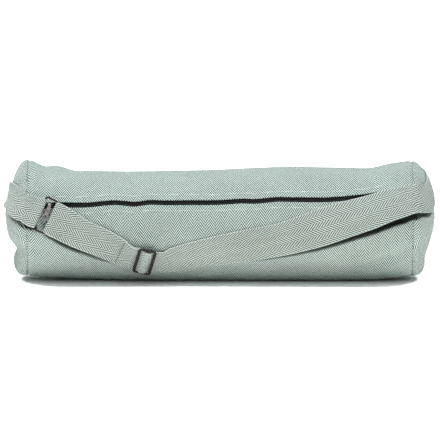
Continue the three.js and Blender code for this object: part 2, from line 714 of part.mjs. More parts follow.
function zipSliderGeometry() {
  const settings = { depth: ZIP_SLIDER_HEIGHT, bevelEnabled: false, curveSegments: 4 };
  const shape = plateShape(ZIP_SLIDER_LENGTH, ZIP_SLIDER_WIDTH, ZIP_SLIDER_WAIST, ZIP_SLIDER_CORNER);
  const plate = new THREE.ExtrudeGeometry(shape, settings).translate(0, 0, ZIP_SLIDER_BASE);
  const post = (BRIDGE_SPAN + BRIDGE_BAR) / 2;
  const bar = lying(new THREE.CylinderGeometry(BRIDGE_BAR / 2, BRIDGE_BAR / 2, 2 * post, BAR_SIDES));
  bar.translate(0, 0, PIVOT_HEIGHT);
  const foot = ZIP_SLIDER_BASE + ZIP_SLIDER_HEIGHT / 2;
  const legs = [-1, 1].map((side) =>
    new THREE.BoxGeometry(BRIDGE_BAR, 1.2 * BRIDGE_BAR, PIVOT_HEIGHT + BRIDGE_BAR / 2 - foot).translate(
      side * post,
      0,
      (PIVOT_HEIGHT + BRIDGE_BAR / 2 + foot) / 2,
    ),
  );
  return joined(plate, bar, ...legs);
}

// Pull: a knuckle round the bridge's bar and a flat tongue that widens to a round end with a hole.
function pullGeometry() {
  const ring = new THREE.Shape().absarc(0, 0, KNUCKLE_RADIUS, 0, 2 * Math.PI);
  ring.holes.push(new THREE.Path().absarc(0, 0, BRIDGE_BAR / 2 + FIT_GAP, 0, 2 * Math.PI));
  const barrel = new THREE.ExtrudeGeometry(ring, { depth: KNUCKLE_LENGTH, bevelEnabled: false, curveSegments: 12 });
  barrel.translate(0, 0, -KNUCKLE_LENGTH / 2).rotateY(Math.PI / 2);
  const start = KNUCKLE_RADIUS - KNUCKLE_WALL / 2;
  const centre = PULL_LENGTH - PULL_END_WIDTH / 2;
  const [neck, end] = [PULL_NECK_WIDTH / 2, PULL_END_WIDTH / 2];
  const lean = radians(-PULL_LEAN);
  const leaned = (x, reach) => {
    const turned = new THREE.Vector2(x, start - reach).rotateAround(new THREE.Vector2(), lean);
    return [turned.x, turned.y - start];
  };
  const tongue = new THREE.Shape();
  tongue.moveTo(neck, -start);
  tongue.lineTo(-neck, -start);
  tongue.quadraticCurveTo(...leaned(-neck, (start + centre) / 2), ...leaned(-end, centre));
  tongue.absarc(...leaned(0, centre), end, Math.PI + lean, 2 * Math.PI + lean);
  tongue.quadraticCurveTo(...leaned(neck, (start + centre) / 2), neck, -start);
  tongue.holes.push(new THREE.Path().absarc(...leaned(0, centre), PULL_HOLE / 2, 0, 2 * Math.PI));
  const flat = new THREE.ExtrudeGeometry(tongue, { depth: PULL_THICKNESS, bevelEnabled: false, curveSegments: 6 });
  flat.translate(0, 0, -PULL_THICKNESS / 2);
  return joined(barrel, flat);
}

// Fittings
const ringGeometry = () =>
  closedWire(
    roundedRectangle(RING_SPAN, STRAP_WIDTH + RING_WIRE + 2 * SIDE_CLEARANCE, WIRE_CORNER),
    RING_WIRE / 2,
  );

function sliderGeometry() {
  const width = GATHERED_WIDTH + SLIDER_WIRE + 2 * SIDE_CLEARANCE;
  const frame = closedWire(roundedRectangle(SLIDER_SPAN, width, WIRE_CORNER), SLIDER_WIRE / 2);
  const bar = new THREE.CylinderGeometry(SLIDER_BAR / 2, SLIDER_BAR / 2, width, WIRE_SIDES);
  return joined(frame, bar);
}

// Finishes
const cloth = (colour) => new THREE.MeshStandardMaterial({ color: colour, roughness: 0.95, metalness: 0 });
const metal = (colour) => new THREE.MeshStandardMaterial({ color: colour, roughness: 0.4, metalness: 0.9 });
const BODY_CLOTH = cloth('#a9bab1');
const STRAP_CLOTH = cloth('#a6b6ac');
const ZIP_TAPE = cloth('#101214');
const COIL_PLASTIC = new THREE.MeshStandardMaterial({ color: '#23262a', roughness: 0.5, metalness: 0 });
const BLACK_METAL = metal('#1c1d20');
const DARK_NICKEL = metal('#5a5751');
const OLD_BRASS = metal('#6d6250');

function piece(name, geometry, material) {
  const mesh = new THREE.Mesh(geometry, material);
  mesh.name = name;
  return mesh;
}

function placed(frame, lift, ...meshes) {
  const group = new THREE.Group().add(...meshes);
  group.quaternion.setFromRotationMatrix(new THREE.Matrix4().makeBasis(frame.along, frame.across, frame.up));
  group.position.copy(inFrame(frame, 0, 0, lift));
  return group;
}

function zipFrame(x) {
  const origin = tubePoint(x, zipAngle(x), 0);
  const ahead = tubePoint(x + 1, zipAngle(x + 1), 0);
  const up = skinNormal(origin);
  const across = new THREE.Vector3().crossVectors(up, ahead.sub(origin)).normalize();
  return { origin, along: new THREE.Vector3().crossVectors(across, up), across, up };
}

const bag = new THREE.Group();
bag.add(piece('bag_body', bodyGeometry(), BODY_CLOTH));
bag.add(piece('end_panel_left', panelGeometry(-1), BODY_CLOTH));
bag.add(piece('end_panel_right', panelGeometry(1), BODY_CLOTH));
bag.add(piece('zip_tape_upper', tapeGeometry(1), ZIP_TAPE));
bag.add(piece('zip_tape_lower', tapeGeometry(-1), ZIP_TAPE));
bag.add(piece('zip_coil', coilGeometry(), COIL_PLASTIC));
bag.add(piece('strap', webbing(strapPath()), STRAP_CLOTH));
bag.add(piece('strap_tab', webbing(tabPath()), STRAP_CLOTH));
bag.add(placed(RING_FRAME, RING_HEIGHT, piece('strap_ring', ringGeometry(), DARK_NICKEL)));
bag.add(placed(SLIDER_FRAME, SLIDER_HEIGHT, piece('strap_slider', sliderGeometry(), OLD_BRASS)));

// The pull turns about the bridge's bar and lies against the bag.
const sliderPlace = zipFrame(ZIP_SLIDER_AT * HALF_LENGTH);
bag.add(placed(sliderPlace, 0, piece('zip_slider', zipSliderGeometry(), BLACK_METAL)));
const pull = piece('zip_pull', pullGeometry(), DARK_NICKEL);
const droop = (PIVOT_HEIGHT - PULL_THICKNESS / 2 - SKIN_GAP) / PULL_LENGTH + PULL_LENGTH / BAG_DIAMETER;
pull.rotation.x = Math.atan(droop);
bag.add(placed(sliderPlace, PIVOT_HEIGHT, pull));

export default bag;
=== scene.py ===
"""Yoga mat bag: a herringbone cotton tube with a zip, domed ends and a slanting strap, dressed on its frame.

Metres, +Z up, +X along the bag, front towards -Y, resting on the floor at z = 0.
"""

from __future__ import annotations

import logging
import math
from collections.abc import Callable, Sequence
from dataclasses import dataclass, field
from enum import Enum

import bmesh
import bpy
import numpy as np
from mathutils import Matrix, Vector

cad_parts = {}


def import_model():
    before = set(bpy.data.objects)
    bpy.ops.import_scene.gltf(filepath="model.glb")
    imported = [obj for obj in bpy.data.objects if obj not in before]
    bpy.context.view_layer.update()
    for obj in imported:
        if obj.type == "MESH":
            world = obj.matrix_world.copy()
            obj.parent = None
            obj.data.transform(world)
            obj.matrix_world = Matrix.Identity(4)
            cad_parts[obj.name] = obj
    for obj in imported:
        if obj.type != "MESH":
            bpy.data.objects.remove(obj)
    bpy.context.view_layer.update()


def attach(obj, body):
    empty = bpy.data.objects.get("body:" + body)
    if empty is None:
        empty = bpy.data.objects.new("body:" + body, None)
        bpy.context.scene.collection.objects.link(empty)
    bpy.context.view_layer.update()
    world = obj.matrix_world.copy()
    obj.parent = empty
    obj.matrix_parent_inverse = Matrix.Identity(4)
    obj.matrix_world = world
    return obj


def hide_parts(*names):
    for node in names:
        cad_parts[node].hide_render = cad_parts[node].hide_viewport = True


LOG = logging.getLogger("mat_bag")
MM = 0.001
FLAT = (0.0, 0.0, 0.0)
ACROSS = (math.pi / 2, 0.0, 0.0)
ALONG = (0.0, math.pi / 2, 0.0)
Colour = tuple[float, float, float]
Points = np.ndarray


class Side(Enum):
    """An end of the bag, as the sign of x there."""

    LEFT = -1
    RIGHT = 1


class Body(Enum):
    """The moving bodies of the frame."""

    BAG = "bag"
    PULL = "pull"


class Table:
    """A short table whose columns run on smooth curves between its rows."""

    def __init__(self, columns: Sequence[str], rows: Sequence[Sequence[float]]) -> None:
        """Keeps the rows.

        Args:
            columns: The columns' names, the first being the place, at.
            rows: The values, in the order of the columns.
        """
        data = np.array(rows, float)
        self.at = data[:, 0]
        self.columns = {name: data[:, k] for k, name in enumerate(columns)}

    def value(self, column: str, at: Points) -> Points:
        """A column at places between the rows.

        Args:
            column: The column's name.
            at: The places.

        Returns:
            The column's value at each place.
        """
        values = self.columns[column]
        last = len(values) - 1
        before = np.maximum(np.arange(last + 1) - 1, 0)
        after = np.minimum(np.arange(last + 1) + 1, last)
        slope = (values[after] - values[before]) / (self.at[after] - self.at[before])
        place = np.clip(at, self.at[0], self.at[-1])
        i = np.clip(np.searchsorted(self.at, place, side="right") - 1, 0, last - 1)
        span = self.at[i + 1] - self.at[i]
        t = (place - self.at[i]) / span
        rise = smooth(t)
        bow = span * (t * (1 - t) ** 2 * slope[i] - t * t * (1 - t) * slope[i + 1])
        return values[i] * (1 - rise) + values[i + 1] * rise + bow


SECTIONS = Table(
    ("at", "girth", "lift"),
    [
        (-0.9, 1.051, 0.091), (-0.83, 1.005, 0.074), (-0.76, 1.0, 0.055), (-0.67, 0.98, 0.04),
        (-0.6, 0.973, 0.03), (-0.44, 0.977, 0.014), (-0.2, 0.99, 0.004), (0, 1, 0),
        (0.33, 1.023, 0), (0.52, 1.018, 0), (0.7, 1.013, 0.014), (0.8, 1.032, 0.042),
        (0.9, 1.036, 0.085),
    ],
)
ZIP_ROUTE = Table(
    ("at", "angle"),
    [
        (-0.83, 23), (-0.743, 26), (-0.6, 29.8), (-0.5, 32.6), (-0.44, 31.8), (-0.4, 30.9),
        (-0.33, 32.8), (-0.26, 32.2), (-0.14, 32), (0, 31.8), (0.1, 32.6), (0.17, 31.9),
        (0.27, 33.4), (0.34, 32.9), (0.5, 33.2), (0.665, 36.5), (0.76, 38.5),
    ],
)
STRAP_ROUTE = Table(
    ("at", "angle"),
    [
        (-0.9, 19.6), (-0.82, 13.6), (-0.68, 2.8), (-0.558, -8.6), (-0.44, -20.4), (-0.4, -24.9),
        (-0.351, -28.8), (-0.3, -30.3), (-0.24, -29.7), (-0.163, -26.6), (0, -18), (0.2, -10),
        (0.391, -0.8), (0.605, 12.8), (0.75, 20.6), (0.9, 28),
    ],
)
STAND_OFF = Table(
    ("at", "off"),
    [(0.1, 0), (0.35, 0.04), (0.6, 0.11), (0.8, 0.17), (0.9, 0.14), (0.98, 0.03)],
)
STRAP_EASE = Table(
    ("at", "upper", "lower"),
    [
        (-1, -0.3, 0.03), (-0.95, -0.26, 0.0), (-0.88, -0.1, 0.03), (-0.81, 0, 0),
        (-0.76, 0.04, 0.03), (-0.65, -0.085, 0.045), (-0.57, -0.075, 0.02), (-0.47, -0.075, 0.045),
        (-0.38, 0, 0), (-0.29, 0, 0), (-0.2, -0.02, 0.08), (-0.1, -0.015, 0.095), (0, -0.01, 0.05),
        (0.15, 0, 0.085), (0.28, -0.02, 0.09), (0.38, 0.045, 0.075), (0.5, 0.11, 0.053),
        (0.67, 0.11, 0), (0.79, 0.095, -0.02), (0.87, 0, -0.01), (0.95, -0.01, -0.06),
        (1, -0.05, -0.11),
    ],
)
SEWN_TURN = Table(
    ("at", "left", "right"),
    [(0, 0, 0), (15, 0, 10), (30, -4, 18), (50, -14, 21), (80, -30, 19), (120, -34, 14)],
)
PRESSED = Table(
    ("at", "strap", "tab"),
    [
        (-1, 0, 0), (-0.98, 0, 5), (-0.92, 0, 12), (-0.86, 0, 15), (-0.82, 3, 9), (-0.78, 14, 0),
        (-0.7, 22, 0), (-0.5, 27, 0), (-0.4, 21, 0), (-0.36, 9, 0), (-0.3, 1, 0), (0.1, 0.6, 0),
        (0.25, 9, 0), (0.5, 23, 0), (0.75, 32, 0), (0.85, 32, 0), (0.9, 24, 0), (0.96, 15, 0),
        (0.985, 7, 0), (1, 0, 0),
    ],
)
PLUMP = Table(
    ("at", "left", "right"),
    [
        (-1, 7, 5), (-0.86, 5, 4), (-0.65, 0, 0), (-0.45, -1, 2.5), (-0.15, 3, 3.5), (0.1, 4, 3.5),
        (0.22, 1.5, 3), (0.35, -2, 2), (0.7, -0.5, 1), (1, 0, 0),
    ],
)


@dataclass(frozen=True)
class Dent:
    """A dent of the tube, in shares of its half length and half diameter and in degrees round it."""

    name: str
    at: float
    reach: float
    angle: float
    spread: float
    slant: float
    depth: float


@dataclass(frozen=True)
class PanelDent:
    """A dent of an end panel, in shares of its radius and of its swell."""

    name: str
    side: Side
    up: float
    spread: float
    front: float
    reach: float
    depth: float


DENTS = [
    Dent("left end dimple", -0.905, 0.018, 49, 13, 0, 0.09),
    Dent("left top pucker", -0.82, 0.028, 92, 42, 0, 0.022),
    Dent("left top fold", -0.75, 0.07, 80, 12, 60, 0.04),
    Dent("left top lobe", -0.77, 0.06, 106, 15, 30, -0.016),
    Dent("left top valley", -0.68, 0.045, 97, 36, 60, 0.026),
    Dent("left back pucker", -0.76, 0.05, 160, 30, -80, 0.03),
    Dent("left low lobe crease", -0.86, 0.1, -24, 7, 30, 0.035),
    Dent("front left belly", -0.5, 0.16, -38, 13, -20, 0.022),
    Dent("front low ripple", 0.02, 0.2, -46, 9, 12, 0.026),
    Dent("front right ripple", 0.42, 0.16, -44, 8, 20, 0.026),
    Dent("right low wrinkle", 0.78, 0.13, -35, 7, 95, 0.075),
    Dent("right middle wrinkle", 0.64, 0.08, -22, 7, 80, 0.045),
    Dent("right end pull", 0.87, 0.03, -20, 22, 0, 0.03),
    Dent("right top ease", 0.7, 0.05, 98, 40, 30, 0.014),
    Dent("back slack", 0.3, 0.25, 185, 18, -30, 0.022),
    Dent("back left slack", -0.35, 0.2, 205, 14, 25, 0.018),
]
PANEL_DENTS = [
    PanelDent("left fold", Side.LEFT, -0.5, 0.13, 0.1, 0.9, 0.3),
    PanelDent("left hollow", Side.LEFT, -0.12, 0.2, -0.3, 0.5, 0.08),
    PanelDent("right slack", Side.RIGHT, -0.5, 0.3, 0.1, 0.9, 0.16),
]


def smooth(t: Points) -> Points:
    """A smooth rise from 0 to 1 as t goes from 0 to 1."""
    t = np.clip(t, 0, 1)
    return t * t * (3 - 2 * t)


def bell(t: Points) -> Points:
    """A smooth hump of height 1 round t = 0."""
    return np.exp(-t * t)


def unit(vectors: Points) -> Points:
    """The vectors scaled to a length of 1."""
    return vectors / np.linalg.norm(vectors, axis=-1, keepdims=True)


def blend(a: Points, b: Points, share: Points) -> Points:
    """Points on the way from a to b, with one share for each point."""
    return a + (b - a) * share[..., None]


@dataclass(frozen=True)
class Skin:
    """The outer face of the bag's cloth: a round tube of changing girth between two domes."""

    length: float = 668 * MM
    diameter: float = 176 * MM
    swell: float = 34 * MM
    rest_depth: float = 3 * MM
    probe: float = 1 * MM
    plump_turn: float = math.radians(16)

    @property
    def half(self) -> float:
        """Half the bag's length."""
        return self.length / 2

    @property
    def rim(self) -> float:
        """Where the tube ends and the domes begin."""
        return self.half - self.swell

    def share(self, x: Points) -> Points:
        """Places along the bag as shares of half its length, kept to the tube."""
        return np.clip(x, -self.rim, self.rim) / self.half

    def centre_height(self, x: Points) -> Points:
        """The height of the tube's middle line over the floor.

        Args:
            x: Places along the bag.

        Returns:
            The height at each place.
        """
        at = self.share(x)
        rise = SECTIONS.value("girth", at) + SECTIONS.value("lift", at)
        return self.diameter / 2 * rise - self.rest_depth

    def radius(self, x: Points, angle: Points) -> Points:
        """The tube's radius with its dents.

        Args:
            x: Places along the bag.
            angle: Angles round the bag from the front, upward.

        Returns:
            The radius at each place.
        """
        at = self.share(x)
        share = SECTIONS.value("girth", at)
        for dent in DENTS:
            along = at - dent.at
            aside = angle - np.radians(dent.angle + dent.slant * along)
            around = np.arctan2(np.sin(aside), np.cos(aside)) / math.radians(dent.spread)
            share = share - dent.depth * bell(along / dent.reach) * bell(around)
        return self.diameter / 2 * share

    def tube_point(self, x: Points, angle: Points, inset: Points) -> Points:
        """Points of the tube, inset from its outer face and flattened by the floor.

        Args:
            x: Places along the bag.
            angle: Angles round it.
            inset: Depths under the face.

        Returns:
            The points.
        """
        radius = self.radius(x, angle) - inset
        height = self.centre_height(x) + radius * np.sin(angle)
        return np.stack(
            np.broadcast_arrays(x, -radius * np.cos(angle), np.maximum(height, inset)), -1
        )

    def end_point(self, side: Points, turn: Points, angle: Points, inset: Points) -> Points:
        """Points of the domes.

        Args:
            side: -1 for the left dome and 1 for the right one.
            turn: 0 at the rim and a quarter turn at the middle of the dome.
            angle: Angles round the bag.
            inset: Depths under the outer face.

        Returns:
            The points.
        """
        rim = self.radius(side * self.rim, angle) - inset
        radius = rim * np.cos(turn)
        up = np.cos(turn) * np.sin(angle)
        front = np.cos(turn) * np.cos(angle)
        swell = (self.swell - inset) * np.sin(turn)
        for dent in PANEL_DENTS:
            share = bell((up - dent.up) / dent.spread) * bell((front - dent.front) / dent.reach)
            here = np.where(side == dent.side.value, self.swell * dent.depth, 0)
            swell = swell - here * share * np.sin(turn)
        plump = np.where(side < 0, PLUMP.value("left", up), PLUMP.value("right", up))
        swell = swell + plump * MM * smooth(turn / self.plump_turn)
        height = self.centre_height(side * self.rim) + radius * np.sin(angle)
        return np.stack(
            np.broadcast_arrays(
                side * (self.rim + swell), -radius * np.cos(angle), np.maximum(height, inset)
            ),
            -1,
        )

    def place(self, points: Points) -> tuple[Points, Points, Points]:
        """Where points lie against the bag.

        Args:
            points: Points near the skin.

        Returns:
            The angle round the bag, the turn over a dome, and a level that is 1 on the skin.
        """
        x, y, z = points[..., 0], points[..., 1], points[..., 2]
        rise = z - self.centre_height(x)
        angle = np.arctan2(rise, -y)
        across = np.hypot(y, rise) / self.radius(x, angle)
        out = np.maximum(np.abs(x) - self.rim, 0) / self.swell
        return angle, np.arctan2(out, across), np.hypot(across, out)

    def onto(self, points: Points) -> Points:
        """The points of the skin that lie under or over these points.

        Args:
            points: Points near the skin.

        Returns:
            The points of the skin.
        """
        angle, turn, _ = self.place(points)
        x = points[..., 0]
        tube = self.tube_point(x, angle, np.zeros_like(x))
        dome = self.end_point(np.where(x < 0, -1.0, 1.0), turn, angle, np.zeros_like(x))
        return np.where((np.abs(x) <= self.rim)[..., None], tube, dome)

    def normal(self, points: Points) -> Points:
        """The directions off the skin at these points.

        Args:
            points: Points near the skin.

        Returns:
            The directions, of length 1.
        """
        slopes = []
        for axis in np.eye(3) * self.probe:
            slopes.append(self.place(points + axis)[2] - self.place(points - axis)[2])
        return unit(np.stack(slopes, -1))


@dataclass(frozen=True)
class Frame:
    """A place on the bag: a point with directions along, across and up off the bag."""

    origin: Points
    along: Points
    across: Points
    up: Points

    def point(self, along: Points, across: Points, up: Points) -> Points:
        """A point given by its distances in this frame."""
        return (
            self.origin
            + self.along * np.asarray(along, float)[..., None]
            + self.across * np.asarray(across, float)[..., None]
            + self.up * np.asarray(up, float)[..., None]
        )

    def matrix(self, lift: float = 0) -> Matrix:
        """The frame as a matrix, raised off the bag by a lift.

        Args:
            lift: How far it is raised.

        Returns:
            The matrix.
        """
        place = np.eye(4)
        place[:3] = np.stack([self.along, self.across, self.up, self.origin + self.up * lift], 1)
        return Matrix(place.tolist())


class Bench:
    """Blender's modelling tools, used on one piece at a time."""

    @staticmethod
    def clear() -> None:
        """Leaves edit mode and deselects everything."""
        if bpy.context.object and bpy.context.object.mode != "OBJECT":
            bpy.ops.object.mode_set(mode="OBJECT")
        bpy.ops.object.select_all(action="DESELECT")

    @classmethod
    def take(cls, piece: bpy.types.Object) -> None:
        """Makes a piece the only selected and active one.

        Args:
            piece: The piece.
        """
        cls.clear()
        piece.select_set(True)
        bpy.context.view_layer.objects.active = piece

    @classmethod
    def primitive(cls, add: Callable[..., set], name: str, **settings: object) -> bpy.types.Object:
        """Adds a primitive and enters edit mode with all of it selected.

        Args:
            add: The operator that adds it.
            name: The piece's name.
            **settings: The operator's settings.

        Returns:
            The new piece.
        """
        cls.clear()
        add(**settings)
        piece = bpy.context.object
        piece.name = name
        bpy.ops.object.mode_set(mode="EDIT")
        bpy.ops.mesh.select_mode(type="VERT")
        bpy.ops.mesh.select_all(action="SELECT")
        return piece

    @classmethod
    def circle(
        cls,
        name: str,
        sides: int,
        radius: float,
        centre: Sequence[float],
        facing: Sequence[float],
        filled: bool = True,
    ) -> bpy.types.Object:
        """Adds a circle and enters edit mode with all of it selected.

        Args:
            name: The piece's name.
            sides: How many sides it has.
            radius: Its radius.
            centre: Its middle.
            facing: Its rotation: FLAT, ACROSS or ALONG.
            filled: Whether it is a face and not a ring of edges.

        Returns:
            The new piece.
        """
        return cls.primitive(
            bpy.ops.mesh.primitive_circle_add,
            name,
            vertices=sides,
            radius=radius,
            location=centre,
            rotation=facing,
            fill_type="NGON" if filled else "NOTHING",
        )

    @staticmethod
    def pick(piece: bpy.types.Object, kind: str, wanted: Callable[..., bool]) -> None:
        """Selects the faces or edges of the piece in edit mode that are wanted, and no others.

        Args:
            piece: The piece.
            kind: FACE or EDGE.
            wanted: Tells whether one of them is wanted.
        """
        bpy.ops.mesh.select_mode(type=kind)
        mesh = bmesh.from_edit_mesh(piece.data)
        for part in mesh.faces if kind == "FACE" else mesh.edges:
            part.select_set(wanted(part))
        mesh.select_flush_mode()
        bmesh.update_edit_mesh(piece.data)

    @staticmethod
    def extrude(by: Sequence[float], scale: Sequence[float] = (1, 1, 1)) -> None:
        """Extrudes the selection by a distance and scales its new end.

        Args:
            by: The distance along each axis.
            scale: The scale along each axis.
        """
        bpy.ops.mesh.extrude_region_move(TRANSFORM_OT_translate={"value": tuple(by)})
        if any(share != 1 for share in scale):
            bpy.ops.transform.resize(value=tuple(scale))

    @classmethod
    def finish(cls, piece: bpy.types.Object, merge: float = 0.01 * MM) -> None:
        """Merges doubles, turns all faces outward and leaves edit mode.

        Args:
            piece: The piece in edit mode.
            merge: How near doubles lie.
        """
        bpy.ops.mesh.select_all(action="SELECT")
        bpy.ops.mesh.remove_doubles(threshold=merge)
        bpy.ops.mesh.normals_make_consistent(inside=False)
        cls.take(piece)

    @classmethod
    def modify(cls, piece: bpy.types.Object, kind: str, **settings: object) -> None:
        """Adds a modifier with its settings and applies it.

        Args:
            piece: The piece.
            kind: The modifier's type.
            **settings: Its settings.
        """
        cls.take(piece)
        modifier = piece.modifiers.new(kind.lower(), kind)
        for name, value in settings.items():
            setattr(modifier, name, value)
        bpy.ops.object.modifier_apply(modifier=modifier.name)

    @classmethod
    def shade(cls, piece: bpy.types.Object, degrees: float = 40) -> None:
        """Shades a piece smooth, but for edges sharper than an angle."""
        cls.take(piece)
        bpy.ops.object.shade_smooth_by_angle(angle=math.radians(degrees))

    @classmethod
    def join(cls, name: str, pieces: Sequence[bpy.types.Object]) -> bpy.types.Object:
        """Joins pieces into one.

        Args:
            name: The name of the whole.
            pieces: The pieces, of which the first stays.

        Returns:
            The joined piece.
        """
        cls.take(pieces[0])
        for piece in pieces[1:]:
            piece.select_set(True)
        bpy.ops.object.join()
        pieces[0].name = name
        return pieces[0]

    @classmethod
    def scatter(
        cls, name: str, model: bpy.types.Object, frames: Frame
    ) -> bpy.types.Object:
        """Copies a small model to each of many frames, as one mesh, and removes the model.

        Args:
            name: The new piece's name.
            model: The small model, about the origin.
            frames: Its places, as arrays.

        Returns:
            The new piece.
        """
        mesh = model.data
        corners = np.zeros(len(mesh.vertices) * 3)
        mesh.vertices.foreach_get("co", corners)
        corners = corners.reshape(-1, 3)
        placed = (
            frames.origin[:, None]
            + frames.along[:, None] * corners[None, :, :1]
            + frames.across[:, None] * corners[None, :, 1:2]
            + frames.up[:, None] * corners[None, :, 2:]
        )
        faces = [tuple(face.vertices) for face in mesh.polygons]
        count = len(corners)
        every = [
            tuple(k * count + v for v in face) for k in range(len(placed)) for face in faces
        ]
        bpy.data.objects.remove(model)
        return new_piece(name, placed.reshape(-1, 3), every)


def new_piece(
    name: str,
    corners: Points,
    faces: Sequence[tuple[int, ...]],
    uv: Points | None = None,
) -> bpy.types.Object:
    """A piece from corners and faces, shaded smooth.

    Args:
        name: The piece's name.
        corners: The corners, in metres.
        faces: The corners of each face.
        uv: A place in the cloth, in metres, for each corner of each face in turn.

    Returns:
        The new piece.
    """
    mesh = bpy.data.meshes.new(name)
    mesh.from_pydata(corners.tolist(), [], faces)
    mesh.polygons.foreach_set("use_smooth", [True] * len(mesh.polygons))
    if uv is not None:
        layer = mesh.uv_layers.new(name="cloth")
        layer.data.foreach_set("uv", uv.astype(np.float32).ravel())
    mesh.update()
    piece = bpy.data.objects.new(name, mesh)
    bpy.context.scene.collection.objects.link(piece)
    return piece


def cloth_wall(
    name: str,
    outer: Points,
    inner: Points,
    uv: Points,
    wrap: bool = False,
    cut: Points | None = None,
) -> bpy.types.Object:
    """A closed wall of cloth between two grids of points.

    Args:
        name: The piece's name.
        outer: Rows and columns of points of the outer face.
        inner: The same points of the inner face.
        uv: The cloth's own place of each grid point, in metres, with one column more where it wraps.
        wrap: Whether the last column joins the first.
        cut: The cells that are left out.

    Returns:
        The new piece.
    """
    rows, width = outer.shape[:2]
    columns = width if wrap else width - 1
    kept = np.ones((rows - 1, columns), bool) if cut is None else ~cut
    j, i = np.nonzero(kept)
    after = (i + 1) % width
    loop = [(j, i, i), (j + 1, i, i), (j + 1, after, i + 1), (j, after, i + 1)]
    out = np.stack([a * width + b for a, b, _ in loop], 1)
    places = np.stack([uv[a, c] for a, _, c in loop], 1)
    back = out + rows * width
    faces = [out, back[:, ::-1]]
    marks = [places, places[:, ::-1]]
    for k, (dj, di) in enumerate(((0, -1), (1, 0), (0, 1), (-1, 0))):
        nj = j + dj
        ni = (i + di) % columns if wrap else i + di
        inside = (nj >= 0) & (nj < rows - 1) & (ni >= 0) & (ni < columns)
        beside = np.zeros(len(j), bool)
        beside[inside] = kept[nj[inside], ni[inside]]
        edge = ~beside
        a, b = k, (k + 1) % 4
        faces.append(np.stack([out[edge, b], out[edge, a], back[edge, a], back[edge, b]], 1))
        side = [places[edge, b], places[edge, a], places[edge, a], places[edge, b]]
        marks.append(np.stack(side, 1))
    faces = np.concatenate(faces)
    marks = np.concatenate(marks)
    used, renamed = np.unique(faces, return_inverse=True)
    corners = np.concatenate([outer.reshape(-1, 3), inner.reshape(-1, 3)])[used]
    return new_piece(name, corners, renamed.reshape(faces.shape).tolist(), marks.reshape(-1, 2))


def close_pole(piece: bpy.types.Object) -> None:
    """Merges the corners of a piece that lie on one point.

    Args:
        piece: The piece.
    """
    mesh = bmesh.new()
    mesh.from_mesh(piece.data)
    bmesh.ops.remove_doubles(mesh, verts=mesh.verts, dist=0.001 * MM)
    mesh.to_mesh(piece.data)
    mesh.free()


@dataclass
class Relief:
    """The small slack of the cloth, which lies inside the bag's plain form."""

    seed: int = 7
    waves: int = 9
    slack: float = 0.9 * MM
    pucker: float = 1.1 * MM
    pucker_reach: float = 20 * MM
    puckers: int = 23

    def __post_init__(self) -> None:
        """Draws the waves once."""
        draw = np.random.default_rng(self.seed)
        self.along = draw.uniform(4, 26, self.waves)
        self.around = draw.integers(1, 7, self.waves)
        self.phase = draw.uniform(0, 2 * math.pi, self.waves)

    def depth(self, skin: Skin, x: Points, angle: Points) -> Points:
        """How deep the cloth lies under the plain form.

        Args:
            skin: The bag's plain form.
            x: Places along the bag.
            angle: Angles round it.

        Returns:
            The depths, none of them negative.
        """
        ripple = np.zeros(np.broadcast(x, angle).shape)
        for along, around, phase in zip(self.along, self.around, self.phase):
            ripple = ripple + np.sin(along * x + around * angle + phase)
        ripple = 0.5 + 0.5 * np.tanh(ripple / 3)
        near = bell((skin.rim - np.abs(x)) / self.pucker_reach)
        gather = 0.5 + 0.5 * np.sin(self.puckers * angle + 2 * np.sin(3 * angle) + 40 * x)
        return self.slack * ripple + self.pucker * near * gather


@dataclass(frozen=True)
class Crease:
    """A fold of the cloth under a strap's lower edge, which opens along a line: its lip."""

    x: Points
    angle: Points
    depth: Points
    width: float = 17 * MM
    fade: float = 9 * MM
    wall: float = 1.5 * MM
    soft_wall: float = 3.5 * MM
    soft_from: float = 10 * MM
    least: float = 0.02

    def at(self, skin: Skin, x: Points, angle: Points) -> Points:
        """How deep the fold is.

        Args:
            skin: The bag's plain form.
            x: Places along the bag.
            angle: Angles round it.

        Returns:
            The depth at each place.
        """
        out = np.clip((np.abs(x) - skin.rim) / skin.swell, 0, 1)
        share = np.sqrt(np.maximum(1 - out * out, self.least))
        radius = skin.diameter / 2 * share
        slope = np.interp(x, self.x, np.gradient(self.angle, self.x)) * radius
        turn = angle - np.interp(x, self.x, self.angle)
        aside = np.arctan2(np.sin(turn), np.cos(turn)) * radius / np.hypot(1, slope)
        depth = np.interp(x, self.x, self.depth, left=0, right=0)
        soft = smooth((np.abs(x) - skin.rim + self.soft_from) / self.soft_from)
        wall = self.wall + (self.soft_wall - self.wall) * soft
        far = (aside - self.width * share) / (self.fade * share)
        return depth * smooth(aside / wall) * (1 - smooth(far))


class Camera:
    """The camera at the photograph's angle, far off with a long lens."""

    distance = 12.0
    elevation = math.radians(8)
    view_width = 0.691
    middle = (0.0, 0.0, 0.093)
    sensor = 36.0

    def build(self) -> None:
        """Places the camera and makes it the scene's own."""
        data = bpy.data.cameras.new("camera")
        data.sensor_width = self.sensor
        data.lens = self.sensor * self.distance / self.view_width
        data.clip_end = 4 * self.distance
        camera = bpy.data.objects.new("camera", data)
        back = Vector((0, -math.cos(self.elevation), math.sin(self.elevation)))
        camera.location = Vector(self.middle) + back * self.distance
        camera.rotation_euler = (math.pi / 2 - self.elevation, 0, 0)
        bpy.context.scene.collection.objects.link(camera)
        bpy.context.scene.camera = camera


